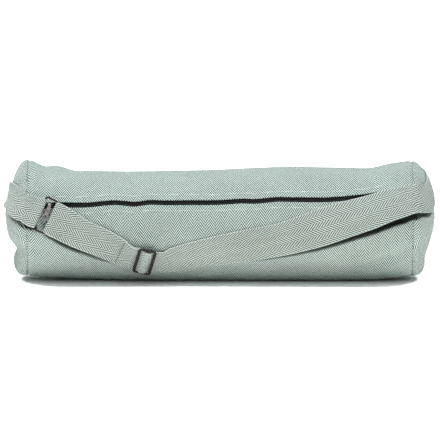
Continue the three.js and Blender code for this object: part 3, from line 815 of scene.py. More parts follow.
@dataclass
class Lamp:
    """A soft light: a square one over the bag, or a far one that slants down on the floor from an end."""

    name: str
    kind: str
    place: Colour
    strength: float
    colour: Colour = (1.0, 1.0, 1.0)
    size: float = 1.0
    spread: float = 0.0

    def build(self, takers: bpy.types.Collection) -> None:
        """Hangs the light and turns it to the bag.

        Args:
            takers: What the light falls on, or leaves out.
        """
        data = bpy.data.lights.new(self.name, self.kind)
        if self.kind == "SUN":
            data.angle = self.spread
        else:
            data.shape = "SQUARE"
            data.size = self.size
        data.energy = self.strength
        data.color = self.colour
        lamp = bpy.data.objects.new(self.name, data)
        lamp.location = self.place
        aim = Vector((0, 0, 0.08)) - Vector(self.place)
        lamp.rotation_euler = aim.to_track_quat("-Z", "Y").to_euler()
        lamp.light_linking.receiver_collection = takers
        bpy.context.scene.collection.objects.link(lamp)


class Value:
    """A number that changes over a surface, as a socket that takes part in arithmetic."""

    def __init__(self, finish: Shader, socket: bpy.types.NodeSocket) -> None:
        """Wraps a socket of a material."""
        self.finish = finish
        self.socket = socket

    def maths(self, operation: str, *others: Value | float) -> Value:
        """One Math node on this value and others.

        Args:
            operation: The node's operation.
            *others: The other values.

        Returns:
            The result.
        """
        inputs = {k: value for k, value in enumerate((self, *others))}
        node = self.finish.node("ShaderNodeMath", {"operation": operation}, inputs)
        return Value(self.finish, node.outputs[0])

    def from_number(self, operation: str, number: float) -> Value:
        """One Math node with a number as its first value."""
        node = self.finish.node("ShaderNodeMath", {"operation": operation}, {0: number, 1: self})
        return Value(self.finish, node.outputs[0])

    def __add__(self, other: Value | float) -> Value:
        """self + other."""
        return self.maths("ADD", other)

    __radd__ = __add__

    def __mul__(self, other: Value | float) -> Value:
        """self * other."""
        return self.maths("MULTIPLY", other)

    __rmul__ = __mul__

    def __sub__(self, other: Value | float) -> Value:
        """self - other."""
        return self.maths("SUBTRACT", other)

    def __rsub__(self, other: float) -> Value:
        """other - self."""
        return self.from_number("SUBTRACT", other)

    def __truediv__(self, other: Value | float) -> Value:
        """self / other."""
        return self.maths("DIVIDE", other)

    def __mod__(self, other: float) -> Value:
        """self modulo other, never negative."""
        return self.maths("FLOORED_MODULO", other)

    def __lt__(self, other: Value | float) -> Value:
        """1 where self is less than other, and else 0."""
        return self.maths("LESS_THAN", other)

    def __gt__(self, other: Value | float) -> Value:
        """1 where self is more than other, and else 0."""
        return self.maths("GREATER_THAN", other)

    def __abs__(self) -> Value:
        """The absolute value."""
        return self.maths("ABSOLUTE")

    def floor(self) -> Value:
        """The whole number below."""
        return self.maths("FLOOR")

    def fraction(self) -> Value:
        """What is left over the whole number below."""
        return self - self.floor()

    def hump(self) -> Value:
        """A parabola of height 1 over each whole step."""
        f = self.fraction()
        return 4 * f * (1 - f)


class Shader:
    """The nodes of a material or of the world, made one by one by the same method."""

    def __init__(self, name: str, world: bool = False) -> None:
        """Starts a material, or the world, with nothing but its output.

        Args:
            name: Its name.
            world: Whether it is the world.
        """
        self.owner = (bpy.data.worlds if world else bpy.data.materials).new(name)
        self.owner.use_nodes = True
        self.tree = self.owner.node_tree
        self.tree.nodes.clear()
        self.output = self.node("ShaderNodeOutputWorld" if world else "ShaderNodeOutputMaterial")

    def node(
        self,
        kind: str,
        settings: dict[str, object] | None = None,
        inputs: dict[str | int, object] | None = None,
    ) -> bpy.types.Node:
        """Adds a node.

        Args:
            kind: The node's type.
            settings: Its settings, which are set first.
            inputs: A value or a link for each of its sockets.

        Returns:
            The node.
        """
        node = self.tree.nodes.new(kind)
        for name, value in (settings or {}).items():
            setattr(node, name, value)
        for name, value in (inputs or {}).items():
            socket = node.inputs[name]
            if isinstance(value, Value):
                self.tree.links.new(value.socket, socket)
            elif isinstance(value, bpy.types.NodeSocket):
                self.tree.links.new(value, socket)
            else:
                socket.default_value = value
        return node

    def value(self, socket: bpy.types.NodeSocket) -> Value:
        """A socket as a value."""
        return Value(self, socket)

    def cloth_place(self) -> tuple[Value, Value]:
        """The cloth's own place, across and along its columns, in metres.

        Returns:
            Both values.
        """
        place = self.node("ShaderNodeUVMap", {"uv_map": "cloth"})
        split = self.node("ShaderNodeSeparateXYZ", inputs={0: place.outputs[0]})
        return self.value(split.outputs[0]), self.value(split.outputs[1])

    def object_place(self) -> bpy.types.NodeSocket:
        """Places in the piece's own space."""
        return self.node("ShaderNodeTexCoord").outputs["Object"]

    def joined(self, x: Value | float, y: Value | float) -> bpy.types.NodeSocket:
        """Two values as the x and y of a vector."""
        return self.node("ShaderNodeCombineXYZ", inputs={0: x, 1: y}).outputs[0]

    def noise(
        self, place: bpy.types.NodeSocket, scale: float, detail: float = 2, rough: float = 0.5
    ) -> Value:
        """Smooth noise about 0.5 over a place.

        Args:
            place: The place.
            scale: How fine it is.
            detail: Its octaves.
            rough: The strength of the finer ones.

        Returns:
            The noise.
        """
        inputs = {"Vector": place, "Scale": scale, "Detail": detail, "Roughness": rough}
        node = self.node("ShaderNodeTexNoise", {"normalize": True}, inputs)
        return self.value(node.outputs["Fac"])

    def ramp(self, value: Value, low: float, high: float, to_low: float, to_high: float) -> Value:
        """A value moved from one range to another, kept inside it."""
        inputs = {0: value, 1: low, 2: high, 3: to_low, 4: to_high}
        return self.value(self.node("ShaderNodeMapRange", {"clamp": True}, inputs).outputs[0])

    def grey(self, value: Value) -> bpy.types.NodeSocket:
        """A value as a grey colour."""
        inputs = {0: value, 1: value, 2: value}
        return self.node("ShaderNodeCombineColor", inputs=inputs).outputs[0]

    def mix(
        self,
        share: Value | float,
        first: Colour | bpy.types.NodeSocket,
        second: Colour | bpy.types.NodeSocket,
        how: str = "MIX",
    ) -> bpy.types.NodeSocket:
        """A mix of two colours.

        Args:
            share: The share of the second.
            first: The first colour.
            second: The second colour.
            how: The way of mixing.

        Returns:
            The mixed colour.
        """
        full = [(*c, 1.0) if isinstance(c, tuple) else c for c in (first, second)]
        settings = {"data_type": "RGBA", "blend_type": how, "clamp_factor": True}
        node = self.node("ShaderNodeMix", settings, {0: share, 6: full[0], 7: full[1]})
        return node.outputs[2]

    def finish(self, surface: dict[str, object], bump: Value | None = None, height: float = 0) -> None:
        """Ends the material in a Principled shader.

        Args:
            surface: The shader's values and links.
            bump: The height of the fine relief, from 0 to 1.
            height: How high it stands, in metres.
        """
        inputs = dict(surface)
        if bump is not None:
            relief = {"Strength": 1.0, "Distance": height, "Height": bump}
            inputs["Normal"] = self.node("ShaderNodeBump", inputs=relief).outputs[0]
        shader = self.node("ShaderNodeBsdfPrincipled", inputs=inputs)
        self.tree.links.new(shader.outputs[0], self.output.inputs[0])


@dataclass(frozen=True)
class Herringbone:
    """Cotton woven from light and dark threads into columns of herringbone."""

    name: str
    light: Colour
    dark: Colour
    warp: float = 0.89 * MM
    weft: float = 1.27 * MM
    column: int = 9
    float_over: int = 4
    depth: float = 0.28 * MM
    edge_at: float = 1.0
    bead: float = 1.9 * MM
    selvedge: float = 0.8
    valley: float = 0.62
    fold_shade: float = 0.84

    def material(self) -> bpy.types.Material:
        """The cloth's material, read from its own place in metres.

        Returns:
            The material.
        """
        shader = Shader(self.name)
        across, along = shader.cloth_place()
        wander = shader.noise(shader.joined(across, along), 60, 2)
        ends = across / self.warp + (wander - 0.5) * 0.9
        picks = along / self.weft + (wander - 0.5) * 0.6
        place = ends.floor() % (2 * self.column)
        turned = place > (self.column - 0.5)
        step = place + turned * (2 * self.column + 1 - 2 * place)
        over = ((step + picks.floor()) % self.float_over) < (self.float_over / 2 - 0.5)
        relief = over * ends.hump() + (1 - over) * picks.hump()
        edge = abs(across) > self.edge_at
        over = over + edge * (self.selvedge - over)
        relief = relief + edge * ((along / self.bead).hump() - relief)
        slub = shader.noise(shader.joined(across * 0.35, along), 900, 1)
        fleck = shader.noise(shader.joined(across, along * 0.3), 1100, 1)
        light = shader.ramp(slub, 0.25, 0.75, 0.86, 1.08)
        dark = shader.ramp(fleck, 0.25, 0.75, 0.7, 1.35)
        tone = over * light + (1 - over) * dark
        thread = shader.mix(over, self.dark, self.light)
        # The weave's relief also darkens the colour in the hollows between threads and beads: painted shade.
        shade = tone * (self.valley + (1 - self.valley) * relief)
        faded = shader.noise(shader.joined(across, along), 14, 3)
        shade = shade * shader.ramp(faded, 0.3, 0.7, 0.95, 1.04)
        # Deep in the folds under the strap and its tab the cloth is painted darker: painted shade.
        fold = shader.node("ShaderNodeAttribute", {"attribute_name": "shade"})
        shade = shade * (1 - self.fold_shade * shader.value(fold.outputs["Fac"]))
        colour = shader.mix(1.0, thread, shader.grey(shade), "MULTIPLY")
        shader.finish(
            {"Base Color": colour, "Roughness": 0.92, "Specular IOR Level": 0.15,
             "Sheen Weight": 0.12, "Sheen Roughness": 0.6},
            relief,
            self.depth,
        )
        return shader.owner


@dataclass(frozen=True)
class Ribbed:
    """Black zip tape, woven in fine ribs along the zip."""

    name: str = "zip_tape_black"
    colour: Colour = (0.0045, 0.005, 0.006)
    rib: float = 0.7 * MM
    pick: float = 0.5 * MM
    depth: float = 0.12 * MM

    def material(self) -> bpy.types.Material:
        """The tape's material, read from its own place in metres.

        Returns:
            The material.
        """
        shader = Shader(self.name)
        across, along = shader.cloth_place()
        relief = (across / self.rib).hump() * (0.6 + 0.4 * (along / self.pick).hump())
        worn = shader.noise(shader.joined(across, along), 260, 3)
        # The ribs' tops are painted lighter and their hollows darker, more strongly in patches: painted
        # highlight and shade.
        tone = 0.5 + 0.9 * relief * shader.ramp(worn, 0.35, 0.75, 0.6, 1.6)
        colour = shader.mix(1.0, self.colour, shader.grey(tone), "MULTIPLY")
        surface = {"Base Color": colour, "Roughness": 0.85, "Specular IOR Level": 0.15}
        shader.finish(surface, relief, self.depth)
        return shader.owner


@dataclass(frozen=True)
class Metal:
    """Metal with a plated face, scratches and wear down to another tone."""

    name: str
    plate: Colour
    worn: Colour
    rough: float
    metallic: float = 1.0
    wear: float = 0.5
    scale: float = 260
    scratch: float = 0.05 * MM

    def material(self) -> bpy.types.Material:
        """The metal's material, read from places in the piece's own space.

        Returns:
            The material.
        """
        shader = Shader(self.name)
        place = shader.object_place()
        patch = shader.noise(place, self.scale, 4, 0.6)
        fine = shader.noise(place, 9 * self.scale, 2)
        share = shader.ramp(patch, self.wear - 0.12, self.wear + 0.12, 0, 1)
        colour = shader.mix(share, self.plate, self.worn)
        rough = shader.ramp(patch * 0.6 + fine * 0.4, 0.3, 0.7, self.rough - 0.1, self.rough + 0.12)
        surface = {"Base Color": colour, "Roughness": rough, "Metallic": self.metallic}
        shader.finish(surface, fine, self.scratch)
        return shader.owner


@dataclass(frozen=True)
class Plastic:
    """Moulded plastic of the zip's coil."""

    name: str = "zip_coil_plastic"
    colour: Colour = (0.007, 0.0075, 0.009)
    rough: float = 0.42

    def material(self) -> bpy.types.Material:
        """The plastic's material, a little dusty in places.

        Returns:
            The material.
        """
        shader = Shader(self.name)
        place = shader.object_place()
        dust = shader.noise(place, 400, 3)
        colour = shader.mix(shader.ramp(dust, 0.45, 0.7, 0, 0.5), self.colour, (0.04, 0.041, 0.044))
        rough = shader.ramp(dust, 0.3, 0.7, self.rough - 0.08, self.rough + 0.2)
        shader.finish({"Base Color": colour, "Roughness": rough})
        return shader.owner


@dataclass(frozen=True)
class Thread:
    """Sewing thread, twisted from fine strands."""

    name: str
    colour: Colour
    twist: float = 2600
    depth: float = 0.08 * MM

    def material(self) -> bpy.types.Material:
        """The thread's material.

        Returns:
            The material.
        """
        shader = Shader(self.name)
        strands = shader.noise(shader.object_place(), self.twist, 1)
        tone = shader.ramp(strands, 0.3, 0.7, 0.8, 1.15)
        colour = shader.mix(1.0, self.colour, shader.grey(tone), "MULTIPLY")
        shader.finish({"Base Color": colour, "Roughness": 0.8}, strands, self.depth)
        return shader.owner


@dataclass(frozen=True)
class Finishes:
    """All the finishes of the bag."""

    cloth: bpy.types.Material
    webbing: bpy.types.Material
    tape: bpy.types.Material
    coil: bpy.types.Material
    black: bpy.types.Material
    nickel: bpy.types.Material
    brass: bpy.types.Material
    patina: bpy.types.Material
    thread: bpy.types.Material
    shaded: bpy.types.Material

    @classmethod
    def make(cls) -> Finishes:
        """Makes every material once."""
        return cls(
            cloth=Herringbone("herringbone_body", (0.85, 1.0, 0.92), (0.02, 0.038, 0.035)).material(),
            webbing=Herringbone(
                "herringbone_strap", (0.76, 0.87, 0.79), (0.04, 0.055, 0.05), edge_at=24.0 * MM
            ).material(),
            tape=Ribbed().material(),
            coil=Plastic().material(),
            black=Metal(
                "black_enamel", (0.004, 0.004, 0.005), (0.035, 0.033, 0.032), 0.42, 0.3, wear=0.62
            ).material(),
            nickel=Metal("dark_nickel", (0.18, 0.17, 0.173), (0.38, 0.355, 0.355), 0.38, 0.6).material(),
            brass=Metal("old_brass", (0.58, 0.46, 0.37), (0.8, 0.68, 0.56), 0.42, 0.4).material(),
            # A nearly black metal for the fittings' sides: painted shade.
            patina=Metal(
                "metal_patina", (0.008, 0.008, 0.009), (0.035, 0.03, 0.028), 0.5, 0.5, wear=0.6
            ).material(),
            thread=Thread("sewing_thread", (0.95, 1.0, 0.97)).material(),
            # A dark thread for the row across the strap's folded end, standing for the shade of its step:
            # painted shade.
            shaded=Thread("shaded_thread", (0.16, 0.18, 0.18)).material(),
        )


@dataclass
class Form:
    """The bag as it is seen: its plain form with slack cloth, seams and the zip's lips."""

    skin: Skin = field(default_factory=Skin)
    relief: Relief = field(default_factory=Relief)
    cloth: float = 2 * MM
    fit_gap: float = 0.3 * MM
    seam_turn: float = math.radians(2)
    seam_depth: float = 2.0 * MM
    seam_width: float = 2.2 * MM
    slot: float = 9 * MM
    slot_from: float = -0.825
    slot_to: float = 0.74
    lip_height: float = 0.5 * MM
    lip_width: float = 1.8 * MM
    calm_from: float = 6 * MM
    calm_fade: float = 10 * MM
    # How deep a fold is before the shade painted in it is nearly full.
    dusk: float = 10 * MM
    creases: list[Crease] = field(default_factory=list)

    @property
    def slot_start(self) -> float:
        """Where the zip's slot starts."""
        return self.slot_from * self.skin.half

    @property
    def slot_end(self) -> float:
        """Where the zip's slot ends."""
        return self.slot_to * self.skin.half

    def zip_angle(self, x: Points) -> Points:
        """The zip's angle round the bag."""
        return np.radians(ZIP_ROUTE.value("angle", np.asarray(x) / self.skin.half))

    def depth(self, x: Points, angle: Points) -> Points:
        """How far the outer face lies under the plain form.

        Args:
            x: Places along the bag.
            angle: Angles round it.

        Returns:
            The depths.
        """
        turn = angle - self.zip_angle(x)
        aside = np.abs(np.arctan2(np.sin(turn), np.cos(turn))) * self.skin.diameter / 2
        calm = smooth((aside - self.calm_from) / self.calm_fade)
        seam = self.seam_depth * bell((self.skin.rim - np.abs(x)) / self.seam_width)
        ends = smooth((x - self.slot_start) / self.calm_from + 1)
        ends = ends * smooth((self.slot_end - x) / self.calm_from + 1)
        lip = self.lip_height * bell((aside - self.slot / 2 - self.lip_width / 2) / self.lip_width)
        slack = self.relief.depth(self.skin, x, angle) + self.fold_depth(x, angle)
        return slack * calm + seam - lip * ends

    def fold_depth(self, x: Points, angle: Points) -> Points:
        """How deep the folds under the strap and its tab are."""
        return sum(crease.at(self.skin, x, angle) for crease in self.creases)

    def shade(self, piece: bpy.types.Object) -> None:
        """Marks how deep in a fold each corner of a piece lies, from 0 to 1, for the shade painted into its
        cloth.

        Args:
            piece: A piece of the bag's cloth.
        """
        corners = np.zeros(len(piece.data.vertices) * 3)
        piece.data.vertices.foreach_get("co", corners)
        points = corners.reshape(-1, 3)
        angle, turn, _ = self.skin.place(points)
        x = points[:, 0]
        dome = np.sign(x) * (self.skin.rim + self.skin.swell * np.sin(turn))
        depth = self.fold_depth(np.where(np.abs(x) > self.skin.rim, dome, x), angle)
        mark = piece.data.attributes.new("shade", "FLOAT", "POINT")
        mark.data.foreach_set("value", 1 - np.exp(-depth / self.dusk))

    def lip_angle(self, x: Points) -> Points:
        """The angle of the folds' lip, along the tab and then along the strap.

        Args:
            x: Places along the bag.

        Returns:
            The angle at each place.
        """
        strap, tab = self.creases
        line = np.concatenate([tab.x, strap.x[strap.x > tab.x[-1]]])
        angle = np.concatenate([tab.angle, strap.angle[strap.x > tab.x[-1]]])
        return np.interp(x, line, angle)

    def point(self, x: Points, angle: Points, inset: float = 0) -> Points:
        """A point of the tube at a depth under its outer face."""
        return self.skin.tube_point(x, angle, self.depth(x, angle) + inset)

    def end(self, side: Side, turn: Points, angle: Points, inset: float = 0) -> Points:
        """A point of a dome at a depth under its outer face."""
        x = side.value * (self.skin.rim + self.skin.swell * np.sin(turn))
        return self.skin.end_point(side.value, turn, angle, self.depth(x, angle) + inset)

    def beside_zip(self, x: Points, aside: Points, inset: Points = 0) -> Points:
        """A point at a distance from the zip's middle line.

        Args:
            x: Places along the bag.
            aside: Distances from the zip.
            inset: Depths.

        Returns:
            The points.
        """
        middle = self.zip_angle(x)
        angle = middle + aside / self.skin.radius(x, middle)
        return self.skin.tube_point(x, angle, self.depth(x, angle) + inset)

    def zip_frames(self, x: Points, aside: Points = 0, inset: Points = 0) -> Frame:
        """The frames along a line beside the zip.

        Args:
            x: Places along the bag.
            aside: The distance from the zip.
            inset: The depth.

        Returns:
            The frames.
        """
        step = self.skin.probe
        origin = self.beside_zip(x, aside, inset)
        ahead = self.beside_zip(x + step, aside, inset)
        up = self.skin.normal(origin)
        across = unit(np.cross(up, ahead - origin))
        return Frame(origin, np.cross(across, up), across, up)

    def plain_zip_frame(self, x: float) -> Frame:
        """The frame at the zip's middle line on the plain form, which the fittings stand on.

        Args:
            x: A place along the bag.

        Returns:
            The frame.
        """
        step = self.skin.probe
        places = np.array([x, x + step])
        line = self.skin.tube_point(places, self.zip_angle(places), np.zeros(2))
        up = self.skin.normal(line[0])
        across = unit(np.cross(up, line[1] - line[0]))
        return Frame(line[0], np.cross(across, up), across, up)


def even(start: float, end: float, cell: float) -> Points:
    """Even places from start to end, no further apart than a cell."""
    return np.linspace(start, end, math.ceil(abs(end - start) / cell) + 1)


@dataclass
class BagBody:
    """The tube of cloth with its slot for the zip."""

    form: Form
    cell: float = 3.05 * MM
    slot_cells: int = 3
    rim_places: tuple[float, ...] = (0, 1 * MM, 2.2 * MM, 4 * MM, 6.5 * MM)
    lip_places: tuple[float, ...] = (0, 0.5 * MM, 1.2 * MM, 2.2 * MM, 3.6 * MM, 5.6 * MM)
    wall_places: tuple[float, ...] = (0, 0.5 * MM, 1.0 * MM, 1.5 * MM)
    cells_below: int = 158
    cells_above: int = 26

    def along(self) -> Points:
        """Places along the tube, with a line at each end of the slot.

        Returns:
            The places.
        """
        rim = self.form.skin.rim
        edge = np.array(self.rim_places)
        left, right = -rim + edge, (rim - edge)[::-1]
        stretches = [
            left[:-1],
            even(left[-1], self.form.slot_start, self.cell)[:-1],
            even(self.form.slot_start, self.form.slot_end, self.cell)[:-1],
            even(self.form.slot_end, right[0], self.cell)[:-1],
            right,
        ]
        return np.concatenate(stretches)

    def around(self, x: Points) -> Points:
        """Angles round the tube from the slot's upper edge to its lower one and over the slot.

        Args:
            x: Places along the tube.

        Returns:
            A row of angles from the zip for each place.
        """
        radius = self.form.skin.radius(x, self.form.zip_angle(x))[:, None]
        edge = self.form.slot / 2 / radius
        lips = np.array(self.lip_places)[None] / radius
        first, last = edge + lips, (2 * math.pi - edge - lips)[:, ::-1]
        fold = (self.form.lip_angle(x) - self.form.zip_angle(x)) % (2 * math.pi)
        wall = fold[:, None] + np.array(self.wall_places)[None] / radius
        share = (np.arange(1, self.cells_below) / self.cells_below)[None]
        below = first[:, -1:] + share * (wall[:, :1] - first[:, -1:])
        share = (np.arange(1, self.cells_above) / self.cells_above)[None]
        above = wall[:, -1:] + share * (last[:, :1] - wall[:, -1:])
        over = np.arange(1, self.slot_cells)[None] / self.slot_cells
        crossing = 2 * math.pi - edge + over * 2 * edge
        return np.concatenate([first, below, wall, above, last, crossing], 1)

    def build(self, finish: bpy.types.Material) -> bpy.types.Object:
        """Args:
            finish: The cloth's material.

        Returns:
            The tube.
        """
        form = self.form
        x = self.along()
        turns = self.around(x)
        angles = turns + form.zip_angle(x)[:, None]
        outer, inner = (
            np.concatenate(
                [
                    form.end(Side.LEFT, form.seam_turn, angles[:1], inset),
                    form.point(x[:, None], angles, inset),
                    form.end(Side.RIGHT, form.seam_turn, angles[-1:], inset),
                ]
            )
            for inset in (0, form.cloth)
        )
        shoulder = form.skin.swell * form.seam_turn
        across = np.concatenate([x[:1] - shoulder, x, x[-1:] + shoulder])
        girth = np.concatenate([turns[:1], turns, turns[-1:]]) * form.skin.diameter / 2
        round_zip = np.concatenate([angles[:1], angles, angles[-1:]])
        girth = girth + form.fold_depth(across[:, None], round_zip)
        whole = girth[:, :1] + math.pi * form.skin.diameter
        girth = np.concatenate([girth, whole], 1)
        uv = np.stack([np.broadcast_to(across[:, None], girth.shape), girth], -1)
        cut = np.zeros((len(across) - 1, turns.shape[1]), bool)
        middle = (across[1:] + across[:-1]) / 2
        inside = (middle > form.slot_start) & (middle < form.slot_end)
        cut[inside, -self.slot_cells:] = True
        body = cloth_wall("body", outer, inner, uv, wrap=True, cut=cut)
        body.data.materials.append(finish)
        form.shade(body)
        return dress(body, Body.BAG, "body_cloth", "bag_body")


@dataclass
class EndPanel:
    """A round end of the bag, which swells a little."""

    form: Form
    side: Side
    rings: int = 34
    columns: int = 236
    crowding: float = 1.3

    def build(self, finish: bpy.types.Material) -> bpy.types.Object:
        """Args:
            finish: The cloth's material.

        Returns:
            The panel.
        """
        form = self.form
        seam = form.seam_turn + form.fit_gap / form.skin.swell
        share = (np.arange(self.rings + 1) / self.rings) ** self.crowding
        turns = (seam + (math.pi / 2 - seam) * share)[:, None]
        angles = np.linspace(0, 2 * math.pi, self.columns, endpoint=False)[None]
        outer, inner = (
            form.end(self.side, turns, angles, inset) for inset in (0, form.cloth)
        )
        steps = np.linalg.norm(np.diff(outer[::-1], axis=0), axis=-1).mean(1)
        reach = np.concatenate([[0], np.cumsum(steps)])[::-1][:, None]
        round_angles = np.concatenate([angles, angles[:, :1]], 1)
        uv = np.stack([reach * np.cos(round_angles), reach * np.sin(round_angles)], -1)
        if self.side is Side.LEFT:
            outer, inner, uv = outer[::-1], inner[::-1], uv[::-1]
        panel = cloth_wall(f"end_{self.side.name.lower()}", outer, inner, uv, wrap=True)
        close_pole(panel)
        panel.data.materials.append(finish)
        form.shade(panel)
        return dress(panel, Body.BAG, "body_cloth", f"end_panel_{self.side.name.lower()}")


def paint_side_shade(piece: bpy.types.Object, worn: bpy.types.Material, dark: bpy.types.Material) -> None:
    """Gives the faces of a fitting that look up its worn metal finish and its sides a nearly black one,
    which is painted shade.

    Args:
        piece: The fitting.
        worn: The finish that looks up.
        dark: The nearly black finish for the sides, painted shade.
    """
    piece.data.materials.append(worn)
    piece.data.materials.append(dark)
    # Faces that look aside or down are painted dark, as shade, by the way they face.
    for face in piece.data.polygons:
        face.material_index = 0 if face.normal.z > 0.5 else 1


def settle(piece: bpy.types.Object, frame: Frame, lift: float) -> None:
    """Puts a fitting that was made about the origin on its place on the bag, in its mesh.

    Args:
        piece: The fitting.
        frame: Its place.
        lift: How far it is raised off that place.
    """
    piece.data.transform(piece.matrix_world)
    piece.matrix_world = Matrix.Identity(4)
    piece.data.transform(frame.matrix(lift))


def dress(piece: bpy.types.Object, body: Body, slot: str, *nodes: str) -> bpy.types.Object:
    """Puts a piece on its body, in place of its nodes.

    Args:
        piece: The piece.
        body: The body that it moves with.
        slot: The name of its finish, which is not used here.
        *nodes: The nodes that it stands for.

    Returns:
        The piece.
    """
    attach(piece, body.value)
    if nodes:
        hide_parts(*nodes)
    LOG.info("%s: %d faces on %s", piece.name, len(piece.data.polygons), body.value)
    return piece


@dataclass
class Zip:
    """The zip: two tapes, a coil of interlocking teeth, a slider and its pull."""

    form: Form
    tape_lap: float = 7 * MM
    tape_thickness: float = 1 * MM
    cell: float = 3 * MM
    tooth_pitch: float = 1.5 * MM
    tooth_reach: float = 2.3 * MM
    tooth_overlap: float = 0.55 * MM
    tooth_wire: float = 0.42 * MM
    tooth_sides: int = 6
    tooth_steps: tuple[tuple[float, ...], ...] = (
        (0.3, 1.1, 1, 1),
        (0.45, 0.35, 1.15, 1),
        (0.2, -0.2, 1.2, 0.9),
        (0.05, -0.2, 0.6, 0.5),
    )
    coil_inset: float = 0.9 * MM
    slider_at: float = -0.796
    slider_length: float = 13 * MM
    slider_width: float = 7.5 * MM
    slider_height: float = 2.4 * MM
    slider_waist: float = 0.7
    slider_rim: float = 0.9 * MM
    slider_sink: float = 0.35 * MM
    slider_round: float = 0.5 * MM
    post_round: float = 0.4 * MM
    bridge_bar: float = 1.8 * MM
    bridge_span: float = 7 * MM
    knuckle_wall: float = 0.9 * MM
    knuckle_length: float = 4.6 * MM
    pull_length: float = 25 * MM
    pull_end: float = 11.2 * MM
    pull_neck: float = 5 * MM
    pull_thickness: float = 1.4 * MM
    pull_hole: float = 5.6 * MM
    pull_lean: float = math.radians(26)
    pull_round: float = 0.32 * MM
    knuckle_round: float = 0.2 * MM
    skin_gap: float = 0.5 * MM

    @property
    def slider_base(self) -> float:
        """The height of the slider's underside over the cloth."""
        return self.form.fit_gap

    @property
    def knuckle_radius(self) -> float:
        """The outer radius of the pull's knuckle."""
        return self.bridge_bar / 2 + self.form.fit_gap + self.knuckle_wall

    @property
    def pivot_height(self) -> float:
        """The height of the pull's axis over the cloth."""
        return self.slider_base + self.slider_height + self.form.fit_gap + self.knuckle_radius

    def tape(self, side: int, finish: bpy.types.Material) -> bpy.types.Object:
        """One tape, from the middle of the zip to under the cloth.

        Args:
            side: 1 for the upper tape and -1 for the lower one.
            finish: Its material.

        Returns:
            The tape.
        """
        form = self.form
        x = even(form.slot_start - self.tape_lap, form.slot_end + self.tape_lap, self.cell)[:, None]
        edge = form.slot / 2 + self.tape_lap
        asides = np.sort(side * np.linspace(form.fit_gap / 2, edge, 9))[None]
        top = form.cloth + form.fit_gap
        outer = form.beside_zip(x, asides, top)
        inner = form.beside_zip(x, asides, top + self.tape_thickness)
        uv = np.stack(np.broadcast_arrays(asides, x), -1)
        name = "upper" if side > 0 else "lower"
        tape = cloth_wall(f"tape_{name}", outer, inner, uv)
        tape.data.materials.append(finish)
        return dress(tape, Body.BAG, "zip_tape", f"zip_tape_{name}")

    def tooth(self) -> bpy.types.Object:
        """One tooth of the coil: a round wire that arches across the zip from its foot at y = 0.

        Returns:
            The tooth.
        """
        wire, reach = self.tooth_wire, self.tooth_reach
        tooth = Bench.circle("tooth", self.tooth_sides, wire, (0, 0, -wire), ACROSS)
        for ahead, rise, wide, tall in self.tooth_steps:
            Bench.extrude((0, ahead * reach, rise * wire), (wide, 1, tall))
        Bench.finish(tooth)
        return tooth

    def coil(self, finish: bpy.types.Material) -> bpy.types.Object:
        """Both rows of teeth, which interlock in the middle.

        Args:
            finish: Its material.

        Returns:
            The coil.
        """
        rows = []
        for side, shift in ((1, 0.0), (-1, 0.5)):
            first = self.form.slot_start + self.tooth_pitch * (0.5 + shift)
            x = np.arange(first, self.form.slot_end - self.tooth_pitch / 2, self.tooth_pitch)
            foot = side * (self.tooth_reach - self.tooth_overlap)
            frames = self.form.zip_frames(x, foot, self.coil_inset)
            turned = Frame(frames.origin, -side * frames.along, -side * frames.across, frames.up)
            rows.append(Bench.scatter(f"coil_{side}", self.tooth(), turned))
        coil = Bench.join("coil", rows)
        coil.data.materials.append(finish)
        Bench.shade(coil, 60)
        return dress(coil, Body.BAG, "zip_coil", "zip_coil")

    def slider(self, finish: bpy.types.Material) -> bpy.types.Object:
        """The slider's body with its waist and the bridge that holds the pull.

        Args:
            finish: Its material.

        Returns:
            The slider.
        """
        length, width, height = self.slider_length, self.slider_width, self.slider_height
        plate = Bench.primitive(bpy.ops.mesh.primitive_cube_add, "slider_plate", size=1)
        bpy.ops.transform.resize(value=(length, width, height))
        bpy.ops.transform.translate(value=(0, 0, self.slider_base + height / 2))
        Bench.pick(plate, "FACE", lambda face: face.normal.x < -0.9)
        bpy.ops.transform.resize(value=(1, self.slider_waist, 0.85))
        Bench.pick(plate, "FACE", lambda face: face.normal.z > 0.5)
        bpy.ops.mesh.inset(thickness=self.slider_rim)
        bpy.ops.transform.translate(value=(0, 0, -self.slider_sink))
        Bench.finish(plate)
        Bench.modify(plate, "BEVEL", width=self.slider_round, segments=2)
        post_place = (self.bridge_span + self.bridge_bar) / 2
        foot = self.slider_base + height / 2
        parts = [plate]
        for end in (-1, 1):
            post = Bench.primitive(bpy.ops.mesh.primitive_cube_add, "slider_post", size=1)
            top = self.pivot_height + self.bridge_bar / 2
            bpy.ops.transform.resize(value=(self.bridge_bar, 1.2 * self.bridge_bar, top - foot))
            bpy.ops.transform.translate(value=(end * post_place, 0, (top + foot) / 2))
            Bench.pick(post, "FACE", lambda face: face.normal.z < -0.9)
            bpy.ops.transform.resize(value=(1.3, 1.5, 1))
            Bench.finish(post)
            Bench.modify(post, "BEVEL", width=self.post_round, segments=3)
            parts.append(post)
        foot = (-post_place, 0, self.pivot_height)
        bar = Bench.circle("slider_bar", 16, self.bridge_bar / 2, foot, ALONG)
        Bench.extrude((2 * post_place, 0, 0))
        Bench.finish(bar)
        parts.append(bar)
        slider = Bench.join("slider", parts)
        slider.data.materials.append(finish)
        settle(slider, self.place(), 0)
        Bench.shade(slider)
        return dress(slider, Body.BAG, "black_metal", "zip_slider")

